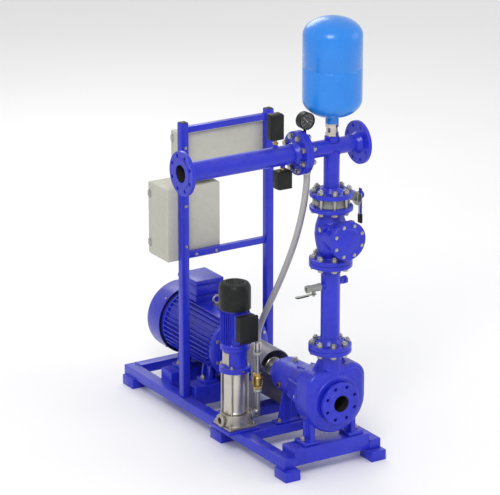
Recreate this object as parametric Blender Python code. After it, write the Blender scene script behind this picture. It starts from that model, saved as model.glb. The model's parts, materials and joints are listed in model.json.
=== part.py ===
"""Electric fire pump unit: a skid with a main pump, its riser, a jockey pump and a control rack.

Every size is in metres, +Z is up and the suction flange faces -Y. The sub-parts are placed
from the riser's axis at floor level, and one empty moves them all so that the origin lies
under the middle of the unit, on the floor.
"""

import math

import bmesh
import bpy
from mathutils import Matrix, Vector

# Gaps
SEAT = 0.0003                 # left between two pieces that touch
OVERSHOOT = 0.01              # how far a cutter runs past the face it opens

# Skid frame
RAIL_BOTTOM = 0.050           # underside of the long rails, on top of the foot pads
RAIL_TOP = 0.100
BEAM_BOTTOM = 0.055           # the cross-beams clear the foot pads' welds
RAIL_LEFT = (-0.285, -0.225)  # outer and inner side of the left rail
RAIL_RIGHT = (0.190, 0.250)   # inner and outer side of the right rail
RAIL_FRONT = -0.060
RAIL_BACK = 1.420
PAD_LENGTH = 0.100            # foot pad along the rail
PAD_OVERHANG = 0.010          # foot pad beyond each side of the rail
PAD_FRONTS = (-0.090, 0.480, 1.320)
BEAM_EDGE = 0.004             # rounding of the frame's edges
PEDESTAL_TOP = 0.134
PEDESTAL_Y = (-0.055, 0.055)
BRACKET_BEAM_Y = (0.310, 0.390)
COUPLING_BEAM_Y = (0.560, 0.640)
MOTOR_BEAM_TOP = 0.154
MOTOR_BEAM_Y = ((0.830, 0.930), (1.060, 1.160))
END_BEAM_Y = (1.360, 1.420)

# Main pump, centre-line discharge, end suction
SHAFT_Z = 0.334
SUCTION_FACE_Y = -0.100
DISCHARGE_RISE = 0.250        # discharge flange face above the shaft
VOLUTE_Y = (-0.055, 0.060)
VOLUTE_RIGHT = 0.165          # scroll radius where it is widest
VOLUTE_LEFT = 0.152
VOLUTE_CORNER_RIGHT = 0.070
VOLUTE_CORNER_LEFT = 0.070
VOLUTE_EDGE = 0.018
CASING_FOOT_X = (0.080, 0.165)
CASING_WEB_X = (0.100, 0.124)
WEB_TOP = 0.254               # webs of the pump's and the motor's feet end in the round body
PORT_BORE = 0.040             # inner radius of the suction port
BRACKET_END_Y = 0.420
SHAFT_RADIUS = 0.016
GUARD_RADIUS = 0.085
GUARD_WALL = 0.004
GUARD_Y = (0.470, 0.740)
GUARD_FOOT_X = 0.110

# Main motor
MOTOR_FRONT_Y = 0.750
MOTOR_RADIUS = 0.172
MOTOR_BACK_Y = 1.260
COWL_BACK_Y = 1.400
MOTOR_FOOT_X = (0.095, 0.165)
MOTOR_WEB_X = (0.113, 0.137)
MOTOR_PAD_Y = (1.080, 1.220)
MOTOR_PAD_TOP = 0.520

# Flanged pipework on the riser axis
FLANGE_RADIUS = 0.100
FLANGE_THICK = 0.020
RISER_RADIUS = 0.04445
UPPER_RADIUS = 0.03805
BRANCH_RADIUS = 0.0365
PIPE_WALL = 0.0040
RISER_TOP = 0.999
CHECK_VALVE_TOP = 1.266
VALVE_COVER_RADIUS = 0.090
VALVE_COVER_THICK = 0.0147
VALVE_COVER_Y = -0.137        # outer face of the check valve's bonnet
VALVE_PIN = (-0.030, 0.046)   # hinge pin from the valve's middle, along Y and Z
BUTTERFLY_THICK = 0.0455
WAFER_RADIUS = 0.075
HEADER_Z = 1.540
HEADER_RIGHT = 0.154
HEADER_JOINT = -0.176
HEADER_LEFT = -0.790
HEADER_SOCKET_TOP = 0.052     # top of the vessel's socket above the header's axis
GAUGE_BOSS_TOP = 0.050
SWITCH_BOSS_END = 0.056
HOSE_BOSS_END = 0.054
LEVER_FACE_X = 0.150          # end face of the butterfly valve's stem
PLUG_Z = 0.896                # plugged boss on the riser's right side
TAP_Z = 0.885
TAP_BOSS_X = 0.056            # the riser's boss for the tap, from the riser's axis
TAP_X = -0.092                # axis of the tap's handle
TAP_STEM_Z = 0.858            # lower end face of the tap's stem

# Vessel on top of the header
VESSEL_BOTTOM = 1.652
VESSEL_TOP = 2.142
VESSEL_RADIUS = 0.135
VESSEL_DOME = 0.085           # height of either domed end
VESSEL_NECK = (0.030, 0.028)  # radius and height of the neck under the lower dome
NIPPLE_RADIUS = 0.030

# Instruments on the header
GAUGE_X = -0.145
GAUGE_RISE = 0.145
GAUGE_RADIUS = 0.040
GAUGE_DEPTH = 0.044
SWITCH_UPPER_X = -0.300
SWITCH_UPPER_HALF = (0.031, 0.026)
SWITCH_UPPER_TOP = 1.738
SWITCH_LOWER_X = -0.262
SWITCH_LOWER_HALF = (0.035, 0.030)
SWITCH_LOWER_BOTTOM = 1.388

# Control rack
POST_SIDE = 0.040
POST_Y = (0.860, 0.900)
POST_LEFT_X = -0.255
POST_RIGHT_X = 0.220
POST_TOP = 1.480
RACK_RAIL = 0.030
RACK_RAIL_Z = {"rack_lower_rail": 0.820, "rack_top_rail": 1.440}
UPPER_CABINET_X = (-0.247, 0.232)
UPPER_CABINET_Z = (1.170, 1.412)
UPPER_CABINET_DEPTH = 0.110
LOWER_CABINET_X = (-0.330, -0.040)
LOWER_CABINET_Z = (0.790, 1.150)
LOWER_CABINET_DEPTH = 0.188
DOOR_THICK = 0.018

# Jockey pump
JOCKEY_X = -0.260
JOCKEY_Y = 0.410
JOCKEY_PLATE_HALF = 0.085
JOCKEY_PLATE_THICK = 0.012
JOCKEY_BASE_TOP = 0.180
JOCKEY_BASE_RADIUS = 0.072
JOCKEY_PORT_Z = 0.152
JOCKEY_PORT_REACH = 0.085     # port faces from the pump's axis
JOCKEY_SLEEVE_RADIUS = 0.055
JOCKEY_SLEEVE_TOP = 0.390
JOCKEY_RING_RADIUS = 0.0635   # circle of the four stay rods
JOCKEY_ROD_RADIUS = 0.005
JOCKEY_HEAD_TOP = 0.515
JOCKEY_MOTOR_TOP = 0.700
JOCKEY_COWL_TOP = 0.825
JOCKEY_MOTOR_RADIUS = 0.070
JOCKEY_COWL_RADIUS = 0.076
JOCKEY_BOX_Y = (0.280, 0.3297)
JOCKEY_BOX_Z = (0.562, 0.692)
OUTLET_X = -0.135
OUTLET_PIPE_RADIUS = 0.0135
OUTLET_VALVE_Z = (0.270, 0.350)
OUTLET_TOP_Z = 0.470

# Braided hose from the jockey outlet up to the header
HOSE_RADIUS = 0.0150
HOSE_POINTS = (
    (-0.135, 0.410, 0.470),
    (-0.135, 0.410, 0.485),
    (-0.135, 0.410, 0.510),
    (-0.135, 0.400, 0.570),
    (-0.135, 0.350, 0.660),
    (-0.134, 0.265, 0.790),
    (-0.133, 0.180, 0.930),
    (-0.133, 0.090, 1.100),
    (-0.133, 0.030, 1.260),
    (-0.133, 0.003, 1.380),
    (-0.133, 0.000, 1.430),
    (-0.133, 0.000, 1.450),
    (-0.133, 0.000, 1.470),
)
HOSE_STEPS = 4                # points read from the smooth curve in each stretch

PAINT_BLUE = ("blue_paint", (0.030, 0.033, 0.500), 0.38, 0.0)
PAINT_DARK_BLUE = ("dark_blue_paint", (0.022, 0.024, 0.360), 0.42, 0.0)
VESSEL_BLUE = ("azure_paint", (0.050, 0.260, 0.800), 0.32, 0.0)
CABINET_BEIGE = ("beige_paint", (0.480, 0.470, 0.400), 0.50, 0.0)
STEEL = ("brushed_steel", (0.560, 0.550, 0.510), 0.30, 1.0)
ZINC = ("zinc_steel", (0.400, 0.400, 0.390), 0.42, 1.0)
BRAID = ("steel_braid", (0.450, 0.450, 0.430), 0.45, 0.8)
BLACK = ("black_plastic", (0.022, 0.023, 0.022), 0.48, 0.0)
OLIVE = ("grey_enamel", (0.250, 0.255, 0.230), 0.50, 0.3)
GREY = ("grey_paint", (0.175, 0.160, 0.200), 0.50, 0.0)
BRASS = ("brass", (0.560, 0.420, 0.180), 0.35, 1.0)


def clear_scene():
    """Removes every object of the open scene."""
    for existing in list(bpy.data.objects):
        bpy.data.objects.remove(existing, do_unlink=True)


def material(spec):
    """Returns the Principled material of one (name, colour, roughness, metallic) spec."""
    name, colour, roughness, metallic = spec
    found = bpy.data.materials.get(name)
    if found is None:
        found = bpy.data.materials.new(name)
        found.use_nodes = True
        shader = found.node_tree.nodes["Principled BSDF"]
        shader.inputs["Base Color"].default_value = (*colour, 1.0)
        shader.inputs["Roughness"].default_value = roughness
        shader.inputs["Metallic"].default_value = metallic
    return found


def add_object(name, bm, spec=None, origin=(0.0, 0.0, 0.0)):
    """Links the mesh as one object whose origin is moved to the given point."""
    mesh = bpy.data.meshes.new(name)
    bmesh.ops.translate(bm, verts=bm.verts, vec=-Vector(origin))
    bmesh.ops.recalc_face_normals(bm, faces=bm.faces)
    bm.to_mesh(mesh)
    bm.free()
    made = bpy.data.objects.new(name, mesh)
    made.location = origin
    bpy.context.scene.collection.objects.link(made)
    if spec is not None:
        mesh.materials.append(material(spec))
    mesh.shade_smooth()
    mesh.set_sharp_from_angle(angle=math.radians(35))
    return made


def box(low, high):
    """A mesh of the box between two opposite corners."""
    bm = bmesh.new()
    low = Vector(low)
    high = Vector(high)
    size = high - low
    place = Matrix.Translation((low + high) / 2) @ Matrix.Diagonal((*size, 1.0))
    bmesh.ops.create_cube(bm, size=1.0, matrix=place)
    return bm


def turning(start, end):
    """The matrix that carries +Z onto the line from start to end, with its origin at start."""
    start = Vector(start)
    direction = (Vector(end) - start).normalized()
    return Matrix.Translation(start) @ direction.to_track_quat("Z", "Y").to_matrix().to_4x4()


def cylinder(start, end, radius, end_radius=None, segments=32):
    """A mesh of the cylinder or cone between two points."""
    bm = bmesh.new()
    length = (Vector(end) - Vector(start)).length
    place = turning(start, end) @ Matrix.Translation((0, 0, length / 2))
    bmesh.ops.create_cone(
        bm,
        cap_ends=True,
        segments=segments,
        radius1=radius,
        radius2=radius if end_radius is None else end_radius,
        depth=length,
        matrix=place,
    )
    return bm


def turned(profile, start, end, segments=32):
    """Spins a closed profile of (radius, height) points about the line from start to end."""
    bm = bmesh.new()
    verts = [bm.verts.new((radius, 0.0, height)) for radius, height in profile]
    on_axis = profile[0][0] == 0.0 and profile[-1][0] == 0.0
    pairs = list(zip(verts, verts[1:]))
    if not on_axis:
        pairs.append((verts[-1], verts[0]))
    edges = [bm.edges.new(pair) for pair in pairs]
    bmesh.ops.spin(
        bm,
        geom=verts + edges,
        cent=(0, 0, 0),
        axis=(0, 0, 1),
        angle=math.tau,
        steps=segments,
        use_merge=True,
    )
    bmesh.ops.remove_doubles(bm, verts=bm.verts, dist=1e-5)
    bmesh.ops.transform(bm, matrix=turning(start, end), verts=bm.verts)
    return bm


def prism(outline, low, high, axis="Y"):
    """Extrudes a closed outline of two coordinates along one axis, from low to high."""
    bm = bmesh.new()
    places = {
        "X": lambda u, v: (low, u, v),
        "Y": lambda u, v: (u, low, v),
        "Z": lambda u, v: (u, v, low),
    }
    along = {"X": Vector((1, 0, 0)), "Y": Vector((0, 1, 0)), "Z": Vector((0, 0, 1))}[axis]
    face = bm.faces.new([bm.verts.new(places[axis](u, v)) for u, v in outline])
    grown = bmesh.ops.extrude_face_region(bm, geom=[face])["geom"]
    moved = [item for item in grown if isinstance(item, bmesh.types.BMVert)]
    bmesh.ops.translate(bm, verts=moved, vec=along * (high - low))
    return bm


def arc(centre, radius, start_deg, end_deg, steps, end_radius=None):
    """Points along an arc, or along a spiral when the radius changes on the way."""
    last = radius if end_radius is None else end_radius
    points = []
    for step in range(steps + 1):
        share = step / steps
        angle = math.radians(start_deg + (end_deg - start_deg) * share)
        reach = radius + (last - radius) * share
        points.append((centre[0] + reach * math.cos(angle), centre[1] + reach * math.sin(angle)))
    return points


def rounded(made, width, segments=2, angle_deg=50):
    """Rounds the sharp edges of an object."""
    bevel = made.modifiers.new("rounded_edges", "BEVEL")
    bevel.width = width
    bevel.segments = segments
    bevel.limit_method = "ANGLE"
    bevel.angle_limit = math.radians(angle_deg)
    return made


def combined(made, pieces, operation):
    """Joins or cuts an object with helper meshes that stay hidden in the scene."""
    for number, bm in enumerate(pieces):
        helper = add_object(f"{made.name}_{operation.lower()}_{number}", bm)
        helper.hide_render = True
        helper.display_type = "WIRE"
        step = made.modifiers.new(helper.name, "BOOLEAN")
        step.operation = operation
        step.object = helper
    return made


def joined(name, spec, pieces, origin=(0.0, 0.0, 0.0)):
    """One object out of overlapping meshes."""
    made = add_object(name, pieces[0], spec, origin)
    return combined(made, pieces[1:], "UNION")


def flange(start, end, radius=FLANGE_RADIUS):
    """A flange disc between two points on its axis."""
    return cylinder(start, end, radius, segments=40)


def make_rail(name, sides):
    """One long rail of the skid with the foot pads that are welded under it."""
    low_x, high_x = sides
    pieces = [box((low_x, RAIL_FRONT, RAIL_BOTTOM), (high_x, RAIL_BACK, RAIL_TOP))]
    for front in PAD_FRONTS:
        pieces.append(box(
            (low_x - PAD_OVERHANG, front, 0.0),
            (high_x + PAD_OVERHANG, front + PAD_LENGTH, RAIL_BOTTOM + 0.004),
        ))
    joined(name, PAINT_BLUE, pieces)


def make_beam(name, span, top):
    """A cross-beam between the two rails."""
    low = (RAIL_LEFT[1] + SEAT, span[0], BEAM_BOTTOM)
    high = (RAIL_RIGHT[0] - SEAT, span[1], top)
    rounded(add_object(name, box(low, high), PAINT_BLUE), BEAM_EDGE, 1)


def make_skid():
    """The open frame: two long rails and the beams between them."""
    make_rail("skid_rail_left", RAIL_LEFT)
    make_rail("skid_rail_right", RAIL_RIGHT)
    make_beam("pump_pedestal", PEDESTAL_Y, PEDESTAL_TOP)
    make_beam("bracket_beam", BRACKET_BEAM_Y, RAIL_TOP)
    make_beam("coupling_beam", COUPLING_BEAM_Y, RAIL_TOP)
    make_beam("motor_beam_front", MOTOR_BEAM_Y[0], MOTOR_BEAM_TOP)
    make_beam("motor_beam_back", MOTOR_BEAM_Y[1], MOTOR_BEAM_TOP)
    make_beam("skid_end_beam", END_BEAM_Y, RAIL_TOP)


def volute_outline():
    """The scroll seen from the front: a spiral below and two shoulders beside the neck."""
    right_centre = (VOLUTE_RIGHT - VOLUTE_CORNER_RIGHT, VOLUTE_RIGHT - VOLUTE_CORNER_RIGHT)
    left_centre = (-VOLUTE_LEFT + VOLUTE_CORNER_LEFT, VOLUTE_LEFT - VOLUTE_CORNER_LEFT)
    points = arc((0.0, 0.0), VOLUTE_LEFT, 180, 360, 24, VOLUTE_RIGHT)
    points += arc(right_centre, VOLUTE_CORNER_RIGHT, 0, 90, 6)
    points += arc(left_centre, VOLUTE_CORNER_LEFT, 90, 180, 7)
    return [(x, z + SHAFT_Z) for x, z in points]


def make_foot(sole_x, span, sole, web_x, inset):
    """The sole plate of a foot and the web that rises from it into the round body."""
    return [
        box((sole_x[0], span[0], sole), (sole_x[1], span[1], sole + 0.018)),
        box((web_x[0], span[0] + inset, sole + 0.008), (web_x[1], span[1] - inset, WEB_TOP)),
    ]


def make_pump_casing():
    """The cast casing with its suction nozzle, discharge neck and two feet."""
    scroll = prism(volute_outline(), *VOLUTE_Y)
    rims = [edge for edge in scroll.edges
            if abs(edge.verts[0].co.y - edge.verts[1].co.y) < 1e-6]
    bmesh.ops.bevel(
        scroll, geom=rims, offset=VOLUTE_EDGE, offset_type="OFFSET",
        segments=3, profile=0.5, affect="EDGES", clamp_overlap=True, material=-1,
    )
    casing = add_object("pump_casing", scroll, PAINT_BLUE)
    face = Vector((0, SUCTION_FACE_Y, SHAFT_Z))
    back = Vector((0, 1, 0))
    discharge = SHAFT_Z + DISCHARGE_RISE
    pieces = [
        cylinder(face + back * 0.030, face + back * 0.060, 0.120, segments=40),
        cylinder(face + back * 0.012, face + back * 0.034, 0.056, 0.082),
        flange(face, face + back * 0.022),
        cylinder((0, 0, SHAFT_Z + 0.100), (0, 0, discharge - 0.010), 0.056),
        flange((0, 0, discharge - FLANGE_THICK), (0, 0, discharge)),
    ]
    for side in (-1, 1):
        sole_x = sorted(side * x for x in CASING_FOOT_X)
        web_x = sorted(side * x for x in CASING_WEB_X)
        pieces += make_foot(sole_x, (-0.045, 0.045), PEDESTAL_TOP + SEAT, web_x, 0.009)
    combined(casing, pieces, "UNION")
    bore = cylinder(face - back * OVERSHOOT, face + back * 0.110, PORT_BORE)
    combined(casing, [bore], "DIFFERENCE")


def make_bearing_bracket():
    """The lantern and bearing housing behind the casing, with the support foot under it."""
    start = VOLUTE_Y[1] + SEAT
    profile = [
        (0.0, start), (0.145, start), (0.145, 0.080), (0.118, 0.086), (0.110, 0.170),
        (0.092, 0.215), (0.088, 0.365), (0.078, 0.378), (0.060, 0.382), (0.060, BRACKET_END_Y),
        (0.0, BRACKET_END_Y),
    ]
    body = turned(profile, (0, 0, SHAFT_Z), (0, 1, SHAFT_Z))
    foot_y = (0.342, 0.356)
    foot = prism(
        [(-0.060, RAIL_TOP + 0.006), (0.060, RAIL_TOP + 0.006), (0.034, SHAFT_Z - 0.080),
         (-0.034, SHAFT_Z - 0.080)],
        *foot_y,
    )
    sole = box((-0.080, 0.325, RAIL_TOP + SEAT), (0.080, 0.375, RAIL_TOP + 0.012))
    joined("bearing_bracket", PAINT_BLUE, [body, foot, sole])


def make_coupling():
    """The spacer coupling between the pump's shaft and the motor's."""
    start = BRACKET_END_Y + SEAT
    end = MOTOR_FRONT_Y - SEAT
    shaft = SHAFT_RADIUS
    profile = [
        (0.0, start), (shaft, start), (shaft, 0.480), (0.045, 0.480), (0.045, 0.530),
        (0.030, 0.532), (0.030, 0.658), (0.045, 0.660), (0.045, 0.710), (0.021, 0.710),
        (0.021, end), (0.0, end),
    ]
    add_object("shaft_coupling", turned(profile, (0, 0, SHAFT_Z), (0, 1, SHAFT_Z)), STEEL)


def make_coupling_guard():
    """The sheet guard that arches over the coupling and stands on its own cross-beam."""
    radius = GUARD_RADIUS
    inside = radius - GUARD_WALL
    floor = RAIL_TOP + SEAT
    outline = [(radius, floor + GUARD_WALL), (radius, SHAFT_Z)]
    outline += arc((0, SHAFT_Z), radius, 0, 180, 18)[1:]
    outline += [(-radius, floor + GUARD_WALL), (-GUARD_FOOT_X, floor + GUARD_WALL)]
    outline += [(-GUARD_FOOT_X, floor), (-inside, floor), (-inside, SHAFT_Z)]
    outline += arc((0, SHAFT_Z), inside, 180, 0, 18)[1:]
    outline += [(inside, floor), (GUARD_FOOT_X, floor), (GUARD_FOOT_X, floor + GUARD_WALL)]
    add_object("coupling_guard", prism(outline, *GUARD_Y), GREY)


def make_motor():
    """The main motor: finned frame with feet, fan cowl and terminal box."""
    radius = MOTOR_RADIUS
    profile = [
        (0.0, MOTOR_FRONT_Y), (0.062, MOTOR_FRONT_Y), (0.070, MOTOR_FRONT_Y + 0.014),
        (radius - 0.030, MOTOR_FRONT_Y + 0.024), (radius - 0.004, MOTOR_FRONT_Y + 0.040),
        (radius, MOTOR_FRONT_Y + 0.052), (radius, MOTOR_BACK_Y - 0.006),
        (radius - 0.006, MOTOR_BACK_Y), (0.0, MOTOR_BACK_Y),
    ]
    frame = turned(profile, (0, 0, SHAFT_Z), (0, 1, SHAFT_Z), 40)
    pieces = [frame]
    sole = MOTOR_BEAM_TOP + SEAT
    for side in (-1, 1):
        sole_x = sorted(side * x for x in MOTOR_FOOT_X)
        web_x = sorted(side * x for x in MOTOR_WEB_X)
        for span in MOTOR_BEAM_Y:
            foot_y = (span[0] + 0.006, span[1] - 0.006)
            pieces += make_foot(sole_x, foot_y, sole, web_x, 0.008)
    pieces.append(box(
        (-0.070, MOTOR_PAD_Y[0], SHAFT_Z + 0.120), (0.070, MOTOR_PAD_Y[1], MOTOR_PAD_TOP),
    ))
    joined("motor_frame", PAINT_BLUE, pieces)

    cowl_start = MOTOR_BACK_Y + SEAT
    cowl = [
        (0.0, cowl_start), (radius + 0.004, cowl_start), (radius + 0.004, COWL_BACK_Y - 0.030),
        (radius - 0.012, COWL_BACK_Y - 0.008), (radius - 0.030, COWL_BACK_Y), (0.0, COWL_BACK_Y),
    ]
    add_object("motor_fan_cowl", turned(cowl, (0, 0, SHAFT_Z), (0, 1, SHAFT_Z), 40), PAINT_DARK_BLUE)

    lid = box(
        (-0.080, MOTOR_PAD_Y[0] - 0.020, MOTOR_PAD_TOP + SEAT),
        (0.080, MOTOR_PAD_Y[1] + 0.020, MOTOR_PAD_TOP + 0.080),
    )
    rounded(add_object("motor_terminal_box", lid, PAINT_BLUE), 0.010)


def make_riser():
    """The lower riser pipe: a flange at each end, a plugged boss and the tap's boss."""
    bottom = SHAFT_Z + DISCHARGE_RISE + SEAT
    top = RISER_TOP
    pieces = [
        cylinder((0, 0, bottom + 0.004), (0, 0, top - 0.004), RISER_RADIUS),
        flange((0, 0, bottom), (0, 0, bottom + FLANGE_THICK)),
        flange((0, 0, top - FLANGE_THICK), (0, 0, top)),
        cylinder((0.020, 0, PLUG_Z), (0.068, 0, PLUG_Z), 0.017, segments=20),
        cylinder((0.064, 0, PLUG_Z), (0.085, 0, PLUG_Z), 0.021, segments=6),
        cylinder((-0.020, 0, TAP_Z), (-TAP_BOSS_X, 0, TAP_Z), 0.014, segments=20),
    ]
    joined("riser_pipe", PAINT_BLUE, pieces)


def make_riser_tap():
    """The small ball valve on the riser's left side and its lever, which turns about Z."""
    body_low = TAP_X - 0.030
    body_high = TAP_X + 0.024
    pieces = [
        cylinder((body_high, 0, TAP_Z), (body_low, 0, TAP_Z), 0.016),
        cylinder((-TAP_BOSS_X - SEAT, 0, TAP_Z), (body_high - 0.008, 0, TAP_Z), 0.020, segments=6),
        cylinder((body_low + 0.008, 0, TAP_Z), (body_low - 0.010, 0, TAP_Z), 0.020, segments=6),
        cylinder((TAP_X, 0, TAP_Z), (TAP_X, 0, TAP_STEM_Z), 0.008, segments=20),
    ]
    joined("riser_tap", OLIVE, pieces)
    top = TAP_STEM_Z - SEAT
    pivot = (TAP_X, 0, top - 0.004)
    plate = prism(
        arc((TAP_X, 0), 0.014, -80, 80, 8) + arc((TAP_X - 0.088, 0), 0.010, 90, 270, 8),
        top - 0.008, top, "Z",
    )
    nut = cylinder((TAP_X, 0, top - 0.006), (TAP_X, 0, top - 0.015), 0.008, segments=6)
    joined("riser_tap_lever", OLIVE, [plate, nut], pivot)


def make_check_valve():
    """The swing check valve and the bolted cover on its front."""
    bottom = RISER_TOP + SEAT
    top = CHECK_VALVE_TOP
    mid = (bottom + top) / 2
    body = [
        (0.0, bottom + 0.006), (0.050, bottom + 0.006), (0.062, bottom + 0.055),
        (0.072, mid - 0.025), (0.074, mid + 0.010), (0.068, mid + 0.055),
        (0.052, top - 0.014), (0.0, top - 0.014),
    ]
    cover_face = VALVE_COVER_Y
    pin_y, pin_z = VALVE_PIN[0], mid + VALVE_PIN[1]
    pieces = [
        turned(body, (0, 0, 0), (0, 0, 1)),
        flange((0, 0, bottom), (0, 0, bottom + FLANGE_THICK)),
        flange((0, 0, top - FLANGE_THICK), (0, 0, top)),
        cylinder((0, -0.010, mid), (0, cover_face + 0.010, mid), 0.070),
        cylinder((0, cover_face + 0.014, mid), (0, cover_face, mid), VALVE_COVER_RADIUS, segments=40),
        cylinder((-0.085, pin_y, pin_z), (0.085, pin_y, pin_z), 0.014, segments=16),
    ]
    joined("check_valve_body", PAINT_BLUE, pieces)
    start = cover_face - SEAT
    end = cover_face - SEAT - VALVE_COVER_THICK
    disc = cylinder((0, start, mid), (0, end, mid), VALVE_COVER_RADIUS, segments=40)
    rounded(add_object("check_valve_cover", disc, PAINT_BLUE), 0.002, 2)


def make_butterfly_valve():
    """The wafer valve clamped above the check valve and the lever that turns its stem."""
    bottom = CHECK_VALVE_TOP + SEAT
    top = bottom + BUTTERFLY_THICK
    mid = (bottom + top) / 2
    pieces = [
        cylinder((0, 0, bottom), (0, 0, top), WAFER_RADIUS, segments=40),
        cylinder((0.040, 0, mid), (0.128, 0, mid), 0.017, segments=20),
        box((0.122, -0.026, mid - 0.022), (0.134, 0.026, mid + 0.022)),
        cylinder((0.130, 0, mid), (LEVER_FACE_X, 0, mid), 0.009, segments=20),
        cylinder((-0.060, 0, mid), (-0.084, 0, mid), 0.016, segments=20),
    ]
    joined("butterfly_valve", OLIVE, pieces)
    start = LEVER_FACE_X + SEAT
    pivot = (start + 0.008, 0, mid)
    pieces = [
        cylinder((start, 0, mid), (start + 0.020, 0, mid), 0.018, segments=24),
        box((start + 0.004, -0.011, mid - 0.100), (start + 0.012, 0.011, mid + 0.034)),
        box((start + 0.001, -0.014, mid - 0.135), (start + 0.015, 0.014, mid - 0.092)),
    ]
    joined("butterfly_lever", OLIVE, pieces, pivot)


def make_header():
    """The header: a welded tee over the riser and the long spool to its left."""
    bottom = CHECK_VALVE_TOP + BUTTERFLY_THICK + 2 * SEAT
    joint = HEADER_JOINT + SEAT
    run_z = HEADER_Z
    hose_x = HOSE_POINTS[-1][0]
    pieces = [
        cylinder((joint + 0.004, 0, run_z), (HEADER_RIGHT - 0.004, 0, run_z), UPPER_RADIUS),
        flange((joint, 0, run_z), (joint + FLANGE_THICK, 0, run_z)),
        flange((HEADER_RIGHT - FLANGE_THICK, 0, run_z), (HEADER_RIGHT, 0, run_z)),
        cylinder((0, 0, bottom + 0.004), (0, 0, run_z - 0.008), BRANCH_RADIUS),
        flange((0, 0, bottom), (0, 0, bottom + FLANGE_THICK)),
        cylinder((0, 0, run_z + 0.020), (0, 0, run_z + HEADER_SOCKET_TOP), 0.034),
        cylinder((hose_x, 0, run_z - 0.020), (hose_x, 0, run_z - HOSE_BOSS_END), 0.018, segments=20),
        cylinder((GAUGE_X, 0, run_z + 0.020), (GAUGE_X, 0, run_z + GAUGE_BOSS_TOP), 0.009, segments=16),
    ]
    tee = joined("header_tee", PAINT_BLUE, pieces)
    bore = UPPER_RADIUS - PIPE_WALL
    run_bore = cylinder(
        (joint - OVERSHOOT, 0, run_z), (HEADER_RIGHT + OVERSHOOT, 0, run_z), bore,
    )
    branch_bore = cylinder(
        (0, 0, bottom - OVERSHOOT), (0, 0, run_z - 0.008), BRANCH_RADIUS - PIPE_WALL - 0.001,
    )
    combined(tee, [run_bore, branch_bore], "DIFFERENCE")

    joint = HEADER_JOINT - SEAT
    pieces = [
        cylinder((HEADER_LEFT + 0.004, 0, run_z), (joint - 0.004, 0, run_z), RISER_RADIUS),
        flange((HEADER_LEFT, 0, run_z), (HEADER_LEFT + FLANGE_THICK, 0, run_z)),
        flange((joint - FLANGE_THICK, 0, run_z), (joint, 0, run_z)),
    ]
    for x, way in ((SWITCH_UPPER_X, 1), (SWITCH_LOWER_X, -1)):
        near, far = run_z + way * 0.030, run_z + way * SWITCH_BOSS_END
        pieces.append(cylinder((x, 0, near), (x, 0, far), 0.011, segments=16))
    spool = joined("header_spool", PAINT_BLUE, pieces)
    bore = cylinder(
        (HEADER_LEFT - OVERSHOOT, 0, run_z), (joint + OVERSHOOT, 0, run_z),
        RISER_RADIUS - PIPE_WALL,
    )
    combined(spool, [bore], "DIFFERENCE")


def make_vessel():
    """The diaphragm vessel on its nipple above the header."""
    foot = HEADER_Z + HEADER_SOCKET_TOP + SEAT
    nipple = [
        (0.0, foot), (NIPPLE_RADIUS, foot), (NIPPLE_RADIUS, foot + 0.018),
        (0.024, foot + 0.022), (0.024, VESSEL_BOTTOM - SEAT), (0.0, VESSEL_BOTTOM - SEAT),
    ]
    add_object("vessel_nipple", turned(nipple, (0, 0, 0), (0, 0, 1)), STEEL)
    radius = VESSEL_RADIUS
    dome = VESSEL_DOME
    neck, neck_height = VESSEL_NECK
    low = VESSEL_BOTTOM + neck_height + dome
    high = VESSEL_TOP - dome
    profile = [(0.0, VESSEL_BOTTOM), (neck, VESSEL_BOTTOM), (neck, VESSEL_BOTTOM + neck_height + 0.003)]
    start_deg = -74
    for step in range(9):
        angle = math.radians(start_deg - start_deg * step / 8)
        profile.append((radius * math.cos(angle), low + dome * math.sin(angle)))
    for step in range(10):
        angle = math.radians(90 * step / 9)
        reach = 0.0 if step == 9 else radius * math.cos(angle)
        profile.append((reach, high + dome * math.sin(angle)))
    add_object("pressure_vessel", turned(profile, (0, 0, 0), (0, 0, 1), 40), VESSEL_BLUE)


def make_instruments():
    """The dial gauge on the tee and the two pressure switches on the spool."""
    foot = HEADER_Z + GAUGE_BOSS_TOP + SEAT
    centre = HEADER_Z + GAUGE_RISE
    half = GAUGE_DEPTH / 2
    pieces = [
        cylinder((GAUGE_X, half, centre), (GAUGE_X, -half, centre), GAUGE_RADIUS, segments=36),
        cylinder((GAUGE_X, 0, foot), (GAUGE_X, 0, centre - GAUGE_RADIUS + 0.010), 0.007, segments=16),
    ]
    joined("pressure_gauge", BLACK, pieces)
    foot = HEADER_Z + SWITCH_BOSS_END + SEAT
    width, depth = SWITCH_UPPER_HALF
    pieces = [
        box(
            (SWITCH_UPPER_X - width, -depth, foot + 0.024),
            (SWITCH_UPPER_X + width, depth, SWITCH_UPPER_TOP),
        ),
        cylinder((SWITCH_UPPER_X, 0, foot), (SWITCH_UPPER_X, 0, foot + 0.030), 0.016, segments=20),
    ]
    joined("pressure_switch_upper", BLACK, pieces)
    foot = HEADER_Z - SWITCH_BOSS_END - SEAT
    width, depth = SWITCH_LOWER_HALF
    pieces = [
        box(
            (SWITCH_LOWER_X - width, -depth, SWITCH_LOWER_BOTTOM),
            (SWITCH_LOWER_X + width, depth, foot - 0.012),
        ),
        cylinder((SWITCH_LOWER_X, 0, foot), (SWITCH_LOWER_X, 0, foot - 0.020), 0.014, segments=20),
    ]
    joined("pressure_switch_lower", BLACK, pieces)


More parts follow.
